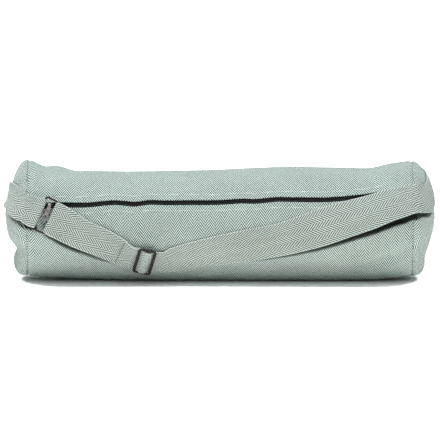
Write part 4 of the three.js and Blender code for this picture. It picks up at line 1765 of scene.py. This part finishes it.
    def tongue(self) -> bpy.types.Object:
        """The pull's tongue, which leans aside and has a hole in its round end.

        Returns:
            The tongue.
        """
        start = self.knuckle_radius - self.knuckle_wall / 2
        centre = self.pull_length - self.pull_end / 2
        tongue = Bench.circle("pull_tongue", 40, self.pull_end / 2, (0, 0, 0), FLAT, filled=False)
        bpy.ops.transform.translate(value=(0, -centre, 0))
        Bench.extrude((0, 0, 0))
        share = self.pull_hole / self.pull_end
        bpy.ops.transform.resize(value=(share, share, 1), center_override=(0, -centre, 0))
        shoulder = -centre + 0.62 * self.pull_end / 2
        edge = 0.95 * self.pull_end / 2
        Bench.pick(
            tongue,
            "EDGE",
            lambda e: all(
                v.co.y > shoulder and math.hypot(v.co.x, v.co.y + centre) > edge for v in e.verts
            ),
        )
        for place, width in ((0.45, 0.8), (0.75, 0.88), (1.0, 0.9)):
            top = -centre + self.pull_end / 2 + (centre - start - self.pull_end / 2) * place
            chosen = [v.co.copy() for v in bmesh.from_edit_mesh(tongue.data).verts if v.select]
            middle = sum((c.y for c in chosen), 0.0) / len(chosen)
            Bench.extrude((0, top - middle, 0))
            flat = 0.25 if place < 1 else 0
            bpy.ops.transform.resize(value=(width, flat, 1), center_override=(0, top, 0))
        neck = [v for v in bmesh.from_edit_mesh(tongue.data).verts if v.select]
        spread = self.pull_neck / 2 / max(abs(v.co.x) for v in neck)
        bpy.ops.transform.resize(value=(spread, 1, 1), center_override=(0, -start, 0))
        mesh = bmesh.from_edit_mesh(tongue.data)
        for vertex in mesh.verts:
            vertex.select_set(vertex.co.y < -start - 0.1 * MM)
        mesh.select_flush_mode()
        lean = Matrix.Rotation(-self.pull_lean, 4, "Z")
        pivot = Vector((0, -start, 0))
        for vertex in mesh.verts:
            if vertex.select:
                vertex.co = lean @ (vertex.co - pivot) + pivot
        bmesh.update_edit_mesh(tongue.data)
        Bench.finish(tongue)
        Bench.modify(tongue, "SOLIDIFY", thickness=self.pull_thickness, offset=0)
        Bench.modify(tongue, "BEVEL", width=self.pull_round, segments=2, limit_method="ANGLE")
        return tongue

    def knuckle(self) -> bpy.types.Object:
        """The pull's knuckle, a short tube round the bridge's bar.

        Returns:
            The knuckle.
        """
        foot = (-self.knuckle_length / 2, 0, 0)
        knuckle = Bench.circle("pull_knuckle", 24, self.knuckle_radius, foot, ALONG, filled=False)
        Bench.extrude((self.knuckle_length, 0, 0))
        Bench.finish(knuckle)
        Bench.modify(knuckle, "SOLIDIFY", thickness=self.knuckle_wall, offset=-1)
        Bench.modify(knuckle, "BEVEL", width=self.knuckle_round, segments=2, limit_method="ANGLE")
        return knuckle

    def pull(self, worn: bpy.types.Material, dark: bpy.types.Material) -> bpy.types.Object:
        """The pull: its tongue and its knuckle, turned to lie near the cloth.

        Args:
            worn: The finish that looks up.
            dark: The other.

        Returns:
            The pull.
        """
        pull = Bench.join("pull", [self.tongue(), self.knuckle()])
        paint_side_shade(pull, worn, dark)
        drop = (self.pivot_height - self.pull_thickness / 2 - self.skin_gap) / self.pull_length
        droop = drop + self.pull_length / self.form.skin.diameter
        pull.data.transform(Matrix.Rotation(math.atan(droop), 4, "X"))
        settle(pull, self.place(), self.pivot_height)
        Bench.shade(pull)
        return dress(pull, Body.PULL, "dark_nickel", "zip_pull")

    def place(self) -> Frame:
        """The slider's place on the bag."""
        return self.form.plain_zip_frame(self.slider_at * self.form.skin.half)

    def build(self, finishes: Finishes) -> None:
        """Builds every piece of the zip.

        Args:
            finishes: All the finishes.
        """
        self.tape(1, finishes.tape)
        self.tape(-1, finishes.tape)
        self.coil(finishes.coil)
        self.slider(finishes.black)
        self.pull(finishes.nickel, finishes.patina)


@dataclass
class StrapWay:
    """The strap's middle line over the bag, with its distances from the ring's middle."""

    skin: Skin
    ring_at: float = -0.82
    slider_at: float = -0.355
    sewn_reach: float = 120 * MM
    step: float = 2.5 * MM
    rim_stretch: float = 12 * MM
    reach: float = 5 * MM

    def __post_init__(self) -> None:
        """Lays the line once."""
        count = round(2 * self.skin.rim / self.step)
        tube = self.on_tube(np.linspace(-self.skin.rim, self.skin.rim, count + 1))
        left, right = (self.beyond(side) for side in Side)
        self.points = np.concatenate([left[::-1], tube, right])
        steps = np.linalg.norm(np.diff(self.points, axis=0), axis=1)
        distance = np.concatenate([[0], np.cumsum(steps)])
        ring = distance[np.argmax(self.points[:, 0] >= self.ring_at * self.skin.half)]
        slider = distance[np.argmax(self.points[:, 0] >= self.slider_at * self.skin.half)]
        self.distance = distance - ring
        self.slider = slider - ring
        self.first, self.last = self.distance[0], self.distance[-1]

    def on_tube(self, x: Points) -> Points:
        """Points of the line on the tube."""
        angle = np.radians(STRAP_ROUTE.value("angle", x / self.skin.half))
        return self.skin.tube_point(x, angle, np.zeros_like(x))

    def beyond(self, side: Side) -> Points:
        """Points of the line past a rim, straight over the dome as seen from the end.

        Args:
            side: The end of the bag.

        Returns:
            The points, from the rim on.
        """
        places = side.value * (self.skin.rim - np.array([0, 2 * self.step]))
        rim, inner = self.on_tube(places)[:, 1:]
        centre = np.array([0, float(self.skin.centre_height(np.array(places[0])))])
        start = rim - centre
        heading = unit(-2 * self.step * unit(start) + rim - inner)
        bearing = math.atan2(heading[1], heading[0])
        reaches = [self.step / 4]
        while reaches[-1] < self.sewn_reach:
            stride = self.step / 4 if reaches[-1] < self.rim_stretch else self.step
            reaches.append(reaches[-1] + stride)
        gone = np.array(reaches[:-1])
        bearings = bearing + np.radians(SEWN_TURN.value(side.name.lower(), gone / MM))
        strides = np.diff(gone, prepend=0)[:, None]
        at = start + np.cumsum(np.stack([np.cos(bearings), np.sin(bearings)], -1) * strides, axis=0)
        angle = np.arctan2(at[:, 1], -at[:, 0])
        radius = self.skin.radius(np.full(len(at), places[0]), angle)
        turn = np.arccos(np.minimum(np.hypot(at[:, 0], at[:, 1]) / radius, 1))
        return self.skin.end_point(float(side.value), turn, angle, np.zeros(len(at)))

    def point(self, q: Points) -> Points:
        """Points at distances along the line."""
        return np.stack([np.interp(q, self.distance, self.points[:, k]) for k in range(3)], -1)

    def frame(self, q: Points) -> Frame:
        """The strap's own frames: along it, across it to its upper edge, and up off the bag.

        Args:
            q: Distances along the line.

        Returns:
            The frames.
        """
        q = np.asarray(q, float)
        back = self.point(np.maximum(q - self.reach, self.first))
        ahead = self.point(np.minimum(q + self.reach, self.last))
        origin = self.skin.onto(self.point(q))
        up = self.skin.normal(origin)
        across = unit(np.cross(up, ahead - back))
        return Frame(origin, np.cross(across, up), across, up)

    def seated(self, q: float, reach: float, width: float) -> Frame:
        """A fitting's frame, raised until the bag is nowhere above its plane under it.

        Args:
            q: Its place along the line.
            reach: Half its length.
            width: The strap's width.

        Returns:
            The frame.
        """
        frame = self.frame(q)
        along, across = np.meshgrid(np.linspace(-1, 1, 5) * reach, np.linspace(-0.5, 0.5, 5) * width)
        bag = self.skin.onto(frame.point(along, across, np.zeros_like(along)))
        rise = max(0.0, float(((bag - frame.origin) @ frame.up).max()))
        return Frame(frame.origin + frame.up * rise, frame.along, frame.across, frame.up)


@dataclass
class SidePath:
    """A strap's side view: places along its way and heights off the bag."""

    q: list[float]
    height: list[float]
    step: float = 2 * MM
    bend_cells: int = 10

    def run(self, q: float, height: float, finer: float = 1) -> None:
        """Runs on to a place and a height on a smooth curve.

        Args:
            q: The place.
            height: The height.
            finer: How much finer it steps.
        """
        count = math.ceil(abs(q - self.q[-1]) / self.step * finer)
        share = np.arange(1, count + 1) / count
        start, level = self.q[-1], self.height[-1]
        self.q += list(start + (q - start) * share)
        self.height += list(level + (height - level) * smooth(share))

    def bend(self, q: float, height: float, radius: float, turns: tuple[float, float]) -> None:
        """Turns round a bar, from one angle to another in degrees.

        Args:
            q: The bar's place.
            height: Its height.
            radius: The bend's radius.
            turns: The two angles.
        """
        angles = np.radians(np.linspace(*turns, self.bend_cells + 1)[1:])
        self.q += list(q + radius * np.cos(angles))
        self.height += list(height + radius * np.sin(angles))


@dataclass
class Straps:
    """The carrying strap and its short tab, with the ring and the slider that they pass through."""

    form: Form
    width: float = 50 * MM
    gathered: float = 39.5 * MM
    webbing: float = 1.6 * MM
    layer_gap: float = 0.25 * MM
    skin_gap: float = 0.5 * MM
    fold_back: float = 31 * MM
    side_clearance: float = 0.4 * MM
    sewn_margin: float = 1 * MM
    steep_climb: float = 4 * MM
    ring_climb: float = 16 * MM
    tab_climb: float = 14 * MM
    slider_climb: float = 12 * MM
    bar_crest: float = 2 * MM
    bar_drop: float = 2.5 * MM
    bar_return: float = 1.5 * MM
    under_run: float = 3 * MM
    ring_wire: float = 2.4 * MM
    ring_span: float = 20.5 * MM
    slider_wire: float = 3.2 * MM
    slider_bar: float = 2.6 * MM
    slider_span: float = 24.8 * MM
    slider_slack: float = 0.6 * MM
    wire_corner: float = 3.2 * MM
    flatness: float = 1.5
    fold_open: float = 2.5 * MM
    fold_gape: float = 0.24
    seat_reach: float = 8 * MM
    flat_reach: float = 6 * MM
    fixed_reach: float = 5 * MM
    lip_stride: float = 0.05 * MM
    edge_places: tuple[float, ...] = (0, 0.25 * MM, 0.8 * MM, 1.6 * MM)
    edge_share: float = 0.12
    cells: int = 24
    wire_sides: int = 20

    def __post_init__(self) -> None:
        """Works out the layers and the fittings' places."""
        gap = self.form.fit_gap
        self.way = StrapWay(self.form.skin)
        self.layer = self.webbing + self.layer_gap
        self.low = self.skin_gap + self.webbing / 2
        self.ring_loop = self.ring_wire / 2 + gap + self.webbing / 2
        self.ring_height = self.low + self.ring_loop
        self.slider_loop = self.slider_bar / 2 + gap + self.webbing / 2
        top = self.low + 2 * self.layer + self.webbing / 2
        self.slider_height = top + gap + self.slider_wire / 2 + self.slider_slack
        self.ring_frame = self.way.seated(0, self.ring_span / 2 + self.seat_reach, self.width)
        reach = self.slider_span / 2 + self.seat_reach
        self.slider_frame = self.way.seated(self.way.slider, reach, self.width)

    @staticmethod
    def nearness(distance: Points, reach: float, fade: float) -> Points:
        """1 within reach of a fitting, falling to 0 over the fade beyond it."""
        return 1 - smooth((np.abs(distance) - reach) / fade)

    def point(self, q: Points, height: Points, aside: Points) -> Points:
        """Points of a strap.

        Args:
            q: Distances along its way.
            height: Heights off the bag.
            aside: Distances from its middle line.

        Returns:
            The points, which follow the bag and lie flat in a fitting's own plane.
        """
        q, height, aside = (np.asarray(v, float) for v in np.broadcast_arrays(q, height, aside))
        frame = self.way.frame(q)
        from_slider = q - self.way.slider
        gather = self.nearness(from_slider, self.slider_span / 2, 1.2 * self.width)
        side = aside * (1 + (self.gathered / self.width - 1) * gather)
        at = frame.origin[..., 0] / self.form.skin.half
        share = 2 * aside / self.width
        side = side + self.width * STRAP_EASE.value("upper", at) * np.maximum(share, 0)
        side = side + self.width * STRAP_EASE.value("lower", at) * np.minimum(share, 0)
        off = self.width * STAND_OFF.value("off", at) * (0.5 - side / self.width)
        flat = frame.point(np.zeros_like(q), side, height)
        base = self.form.skin.onto(frame.point(np.zeros_like(q), side, np.zeros_like(q)))
        followed = base + self.form.skin.normal(base) * (height + off)[..., None]
        near_ring = self.nearness(q, self.ring_span / 2 + self.flat_reach, self.width)
        near_slider = self.nearness(from_slider, self.slider_span / 2 + self.flat_reach, self.width)
        point = blend(followed, flat, np.maximum(near_ring, near_slider))
        fixed = self.nearness(q, self.ring_span / 2 + self.fixed_reach, self.width / 2)
        point = blend(point, self.ring_frame.point(q, side, height), fixed)
        fixed = self.nearness(from_slider, self.slider_span / 2 + self.fixed_reach, self.width / 2)
        point = blend(point, self.slider_frame.point(from_slider, side, height), fixed)
        ground = self.form.skin.onto(point)
        normal = self.form.skin.normal(ground)
        short = np.maximum(height - ((point - ground) * normal).sum(-1), 0)
        return point + normal * short[..., None]

    def strap_path(self) -> SidePath:
        """From the right panel over the front, through the slider, round the ring and back.

        Returns:
            The side view.
        """
        first, second, third = (self.low + k * self.layer for k in range(3))
        bar, middle, ring = self.slider_span / 2, self.way.slider, self.ring_span / 2
        fold_end = middle - bar - self.fold_back
        crest = self.slider_height + self.slider_loop + self.layer
        path = SidePath([self.way.last - self.sewn_margin], [first])
        path.run(middle + bar + self.slider_climb, first)
        path.run(middle + bar, second)
        path.run(middle + self.bar_crest, crest, 2)
        path.run(middle - self.bar_drop, crest, 2)
        path.run(middle - bar, third, 2)
        path.run(fold_end - self.sewn_margin, third)
        path.run(fold_end - self.sewn_margin - self.steep_climb, second)
        path.run(ring + self.ring_climb, second)
        path.run(ring, first + 2 * self.ring_loop, 2)
        path.bend(ring, self.ring_height, self.ring_loop, (90, 270))
        path.run(ring + self.ring_climb, first, 2)
        path.run(middle - bar + self.under_run, first)
        path.run(middle, self.slider_height - self.slider_loop, 2)
        path.bend(middle, self.slider_height, self.slider_loop, (-90, 90))
        path.run(middle - bar + self.bar_return, second, 2)
        path.run(fold_end, second)
        return path

    def tab_path(self) -> SidePath:
        """From the left panel, round the ring's left bar and back beneath itself.

        Returns:
            The side view.
        """
        first, second = self.low, self.low + self.layer
        ring = -self.ring_span / 2
        path = SidePath([self.way.first + self.sewn_margin], [second])
        path.run(ring - self.tab_climb, second)
        path.run(ring, first + 2 * self.ring_loop, 2)
        path.bend(ring, self.ring_height, self.ring_loop, (90, -90))
        path.run(ring - self.tab_climb, first, 2)
        path.run(self.way.first + self.sewn_margin, first)
        return path

    def creases(self) -> list[Crease]:
        """The folds under the lower edges of the strap and of its tab."""
        return [
            self.crease("strap", 0, self.way.last),
            self.crease("tab", self.way.first, 0),
        ]

    def crease(self, column: str, first: float, last: float) -> Crease:
        """The fold along one lower edge.

        Args:
            column: Its column in the table of depths.
            first: Where it starts along the strap's way.
            last: Where it ends.

        Returns:
            The fold, whose lip is a line on the bag a little below the edge.
        """
        skin = self.form.skin
        q = np.arange(first, last, self.way.step)
        pressed = PRESSED.value(column, self.way.point(q)[:, 0] / skin.half) * MM
        aside = -self.width / 2 - self.fold_open - self.fold_gape * pressed
        points = self.point(q, self.low, aside)
        angle, turn, _ = skin.place(points)
        x = points[:, 0]
        x = np.where(np.abs(x) > skin.rim, np.sign(x) * (skin.rim + skin.swell * np.sin(turn)), x)
        kept = slice(int(np.argmin(x)), int(np.argmax(x)) + 1)
        x, angle = x[kept], angle[kept]
        rising = np.diff(np.maximum.accumulate(x), prepend=x[0] - MM) > self.lip_stride
        x, angle = x[rising], angle[rising]
        return Crease(x, angle, PRESSED.value(column, x / skin.half) * MM)

    def band(self, name: str, path: SidePath, finish: bpy.types.Material) -> bpy.types.Object:
        """A band of webbing with round edges along a side path.

        Args:
            name: The piece's name.
            path: Its side view.
            finish: Its material.

        Returns:
            The band.
        """
        q, height = np.array(path.q), np.array(path.height)
        index = np.arange(len(q))
        before, after = np.maximum(index - 1, 0), np.minimum(index + 1, len(q) - 1)
        run, rise = q[after] - q[before], height[after] - height[before]
        length = np.hypot(run, rise)
        edge = np.array(self.edge_places)
        inner = np.linspace(-1, 1, self.cells + 1) * (self.width / 2 - edge[-1])
        aside = np.concatenate([edge[:-1] - self.width / 2, inner, (self.width / 2 - edge[:-1])[::-1]])
        share = np.clip((self.width / 2 - np.abs(aside)) / edge[-1], 0, 1)
        bulge = self.edge_share + (1 - self.edge_share) * share * (2 - share)
        thick = self.webbing / 2 * np.sqrt(bulge)
        faces = []
        for sign in (1, -1):
            offset = sign * thick[None]
            faces.append(
                self.point(
                    q[:, None] - (rise / length)[:, None] * offset,
                    height[:, None] + (run / length)[:, None] * offset,
                    aside[None],
                )
            )
        reach = np.concatenate([[0], np.cumsum(np.hypot(np.diff(q), np.diff(height)))])
        uv = np.stack(np.broadcast_arrays(aside[None], reach[:, None]), -1)
        band = cloth_wall(name, faces[0], faces[1], uv)
        band.data.materials.append(finish)
        return band

    def wire_frame(self, name: str, span: float, width: float, wire: float) -> bpy.types.Object:
        """A rectangle of round wire with round corners, about the origin.

        Args:
            name: The piece's name.
            span: Its size along x, between the middles of its wires.
            width: Its size along y.
            wire: The wire's diameter.

        Returns:
            The frame.
        """
        corner = self.wire_corner
        along, across = span / 2 - corner, width / 2 - corner
        start = (span / 2, -across, 0)
        frame = Bench.circle(name, self.wire_sides, wire / 2, start, ACROSS, filled=False)
        bpy.ops.transform.resize(value=(self.flatness, 1, 1), center_override=start)
        legs = [(0, 2 * across), (-2 * along, 0), (0, -2 * across), (2 * along, 0)]
        centres = [(along, across), (-along, across), (-along, -across), (along, -across)]
        for (x, y), (cx, cy) in zip(legs, centres):
            Bench.extrude((x / 2, y / 2, 0))
            Bench.extrude((x / 2, y / 2, 0))
            bpy.ops.mesh.spin(steps=6, angle=math.pi / 2, center=(cx, cy, 0), axis=(0, 0, -1))
        Bench.finish(frame)
        return frame

    def ring(self, worn: bpy.types.Material, dark: bpy.types.Material) -> bpy.types.Object:
        """The rectangular ring between the strap and its tab.

        Args:
            worn: The finish that looks up.
            dark: The other.

        Returns:
            The ring.
        """
        width = self.width + self.flatness * self.ring_wire + 2 * self.side_clearance
        ring = self.wire_frame("ring", self.ring_span, width, self.ring_wire)
        paint_side_shade(ring, worn, dark)
        settle(ring, self.ring_frame, self.ring_height)
        Bench.shade(ring, 60)
        return dress(ring, Body.BAG, "dark_nickel", "strap_ring")

    def slider(self, worn: bpy.types.Material, dark: bpy.types.Material) -> bpy.types.Object:
        """The slider of three bars, whose middle bar holds the strap's end.

        Args:
            worn: The finish that looks up.
            dark: The other.

        Returns:
            The slider.
        """
        width = self.gathered + self.flatness * self.slider_wire + 2 * self.side_clearance
        frame = self.wire_frame("three_bar_slider", self.slider_span, width, self.slider_wire)
        foot = (0, -width / 2, 0)
        bar = Bench.circle("slider_middle_bar", self.wire_sides, self.slider_bar / 2, foot, ACROSS)
        for share in (0.15, 0.7, 0.15):
            Bench.extrude((0, share * width, 0))
        Bench.finish(bar)
        slider = Bench.join("three_bar_slider", [frame, bar])
        paint_side_shade(slider, worn, dark)
        settle(slider, self.slider_frame, self.slider_height)
        Bench.shade(slider, 60)
        return dress(slider, Body.BAG, "old_brass", "strap_slider")

    def build(self, finishes: Finishes) -> None:
        """Builds the strap, the tab and their fittings.

        Args:
            finishes: All the finishes.
        """
        strap = self.band("webbing_strap", self.strap_path(), finishes.webbing)
        dress(strap, Body.BAG, "strap_webbing", "strap")
        tab = self.band("webbing_tab", self.tab_path(), finishes.webbing)
        dress(tab, Body.BAG, "strap_webbing", "strap_tab")
        self.ring(finishes.nickel, finishes.patina)
        self.slider(finishes.brass, finishes.patina)


@dataclass
class Stitches:
    """Rows of sewing thread: beside the zip and in a crossed box at each sewn end of the strap."""

    form: Form
    straps: Straps
    pitch: float = 3.6 * MM
    length: float = 2.4 * MM
    thread: float = 0.42 * MM
    sides: int = 6
    steps: tuple[tuple[float, ...], ...] = (
        (0.22, 0.9, 1.6, 1.5),
        (0.56, 0, 1, 1),
        (0.22, -0.9, 0.62, 0.66),
    )
    from_zip: float = 13.5 * MM
    before_zip: float = 6 * MM
    box_from: float = 5 * MM
    box_to: float = 42 * MM
    box_half: float = 20.5 * MM
    tack_margin: float = 2.5 * MM
    tack_pitch: float = 1.7 * MM

    def stitch(self) -> bpy.types.Object:
        """One stitch, whose two ends dip into the cloth.

        Returns:
            The stitch.
        """
        foot = (-self.length / 2, 0, -0.8 * self.thread)
        stitch = Bench.circle("stitch", self.sides, 0.6 * self.thread, foot, ALONG)
        for ahead, rise, wide, tall in self.steps:
            Bench.extrude((ahead * self.length, 0, rise * self.thread), (1, wide, tall))
        Bench.finish(stitch)
        return stitch

    def beside_zip(self) -> list[Frame]:
        """The places of the rows beside the zip.

        Returns:
            The frames of each row.
        """
        start, end = self.form.slot_start - self.before_zip, self.form.slot_end + self.before_zip
        x = np.arange(start, end, self.pitch)
        return [self.form.zip_frames(x, side * self.from_zip, 0) for side in (1, -1)]

    def tack(self) -> Frame:
        """The places of the close row that holds the strap's folded end.

        Returns:
            The stitches' frames.
        """
        straps = self.straps
        at = straps.way.slider - straps.slider_span / 2 - straps.fold_back + self.tack_margin
        half = self.box_half
        return self.sewn([((at, -half), (at, half))], 3, self.tack_pitch)

    def box(self, side: Side, layers: int) -> Frame:
        """The places of the crossed box at a sewn end.

        Args:
            side: The end of the bag.
            layers: How many layers of webbing lie there.

        Returns:
            The stitches' frames.
        """
        end = self.straps.way.last if side is Side.RIGHT else self.straps.way.first
        near, far = (end - side.value * reach for reach in (self.box_from, self.box_to))
        half = self.box_half
        corners = [(near, -half), (near, half), (far, half), (far, -half), (near, -half), (far, half)]
        lines = list(zip(corners[:-1], corners[1:])) + [((near, half), (far, -half))]
        return self.sewn(lines, layers, self.pitch)

    def sewn(self, lines: Sequence[tuple], layers: int, pitch: float) -> Frame:
        """The places of stitches along lines on the strap.

        Args:
            lines: Each line's start and stop, along the strap's way and aside.
            layers: How many layers of webbing lie there.
            pitch: The stitches' distance.

        Returns:
            The stitches' frames.
        """
        height = self.straps.low + (layers - 1) * self.straps.layer + self.straps.webbing / 2
        origins, alongs = [], []
        for start, stop in lines:
            start, stop = np.array(start), np.array(stop)
            count = max(round(float(np.linalg.norm(stop - start)) / pitch), 1)
            middle = start + (stop - start) * ((np.arange(count) + 0.5) / count)[:, None]
            step = unit(stop - start) * self.length / 2
            here = self.straps.point(middle[:, 0], height, middle[:, 1])
            ahead = self.straps.point(middle[:, 0] + step[0], height, middle[:, 1] + step[1])
            origins.append(here)
            alongs.append(unit(ahead - here))
        origin, along = np.concatenate(origins), np.concatenate(alongs)
        up = self.form.skin.normal(origin)
        across = unit(np.cross(up, along))
        return Frame(origin, along, across, np.cross(along, across))

    def build(self, thread: bpy.types.Material, shaded: bpy.types.Material) -> None:
        """Sews every row.

        Args:
            thread: The finish of most.
            shaded: That of the row in the step's shade, dark as painted shade.
        """
        rows = [
            ("stitches_zip", thread, self.beside_zip()),
            ("stitches_strap_end", thread, [self.box(Side.RIGHT, 1)]),
            ("stitches_tab_end", thread, [self.box(Side.LEFT, 2)]),
            ("stitches_folded_end", shaded, [self.tack()]),
        ]
        for name, finish, frames in rows:
            parts = [Bench.scatter(f"{name}_{k}", self.stitch(), f) for k, f in enumerate(frames)]
            row = Bench.join(name, parts)
            row.data.materials.append(finish)
            Bench.shade(row, 70)
            dress(row, Body.BAG, "body_cloth")


@dataclass
class Studio:
    """A white floor and soft white light."""

    reach: float = 30.0
    floor_light: float = 1.0
    sky: float = 0.95
    horizon: float = 0.16
    level: float = 0.7

    def floor(self) -> bpy.types.Object:
        """Lays the floor, which throws light back up at the bag.

        Returns:
            The floor.
        """
        corners = np.array([(-1, -1, 0), (1, -1, 0), (1, 1, 0), (-1, 1, 0)], float) * self.reach
        floor = new_piece("floor", corners, [(0, 1, 2, 3)])
        shader = Shader("floor_white")
        tone = (self.floor_light,) * 3 + (1.0,)
        surface = shader.node("ShaderNodeBsdfDiffuse", inputs={"Color": tone})
        shader.tree.links.new(surface.outputs[0], shader.output.inputs[0])
        floor.data.materials.append(shader.owner)
        floor.visible_shadow = False
        return floor

    def world(self) -> None:
        """Lights the scene from all round, less from near the horizon."""
        world = Shader("studio", world=True)
        place = world.node("ShaderNodeTexCoord").outputs["Generated"]
        height = world.node("ShaderNodeSeparateXYZ", inputs={0: place}).outputs[2]
        strength = world.ramp(world.value(height), 0, self.level, self.horizon, self.sky)
        light = world.node("ShaderNodeBackground", inputs={"Strength": strength})
        world.tree.links.new(light.outputs[0], world.output.inputs[0])
        bpy.context.scene.world = world.owner

    def build(self) -> None:
        """Sets up the camera, the floor and the lights."""
        Camera().build()
        floor = self.floor()
        unlit, lit = (bpy.data.collections.new(name) for name in ("all_but_floor", "floor_alone"))
        unlit.objects.link(floor)
        unlit.collection_objects[0].light_linking.link_state = "EXCLUDE"
        lit.objects.link(floor)
        self.world()
        Lamp("key", "AREA", (-0.6, -0.3, 3.9), 126, (0.96, 0.99, 1.03), 0.7).build(unlit)
        for side in Side:
            name = f"overhead_{side.name.lower()}"
            Lamp(name, "SUN", (2.9 * side.value, 0, 5), 2.4, spread=math.radians(14)).build(lit)
        bpy.context.scene.view_settings.view_transform = "Standard"


def main() -> None:
    """Builds the bag on its frame, piece by piece."""
    logging.basicConfig(level=logging.INFO, format="%(name)s: %(message)s")
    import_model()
    Studio().build()
    form = Form()
    straps = Straps(form)
    form.creases = straps.creases()
    finishes = Finishes.make()
    BagBody(form).build(finishes.cloth)
    for side in Side:
        EndPanel(form, side).build(finishes.cloth)
    Zip(form).build(finishes)
    straps.build(finishes)
    Stitches(form, straps).build(finishes.thread, finishes.shaded)


if __name__ == "__main__":
    main()
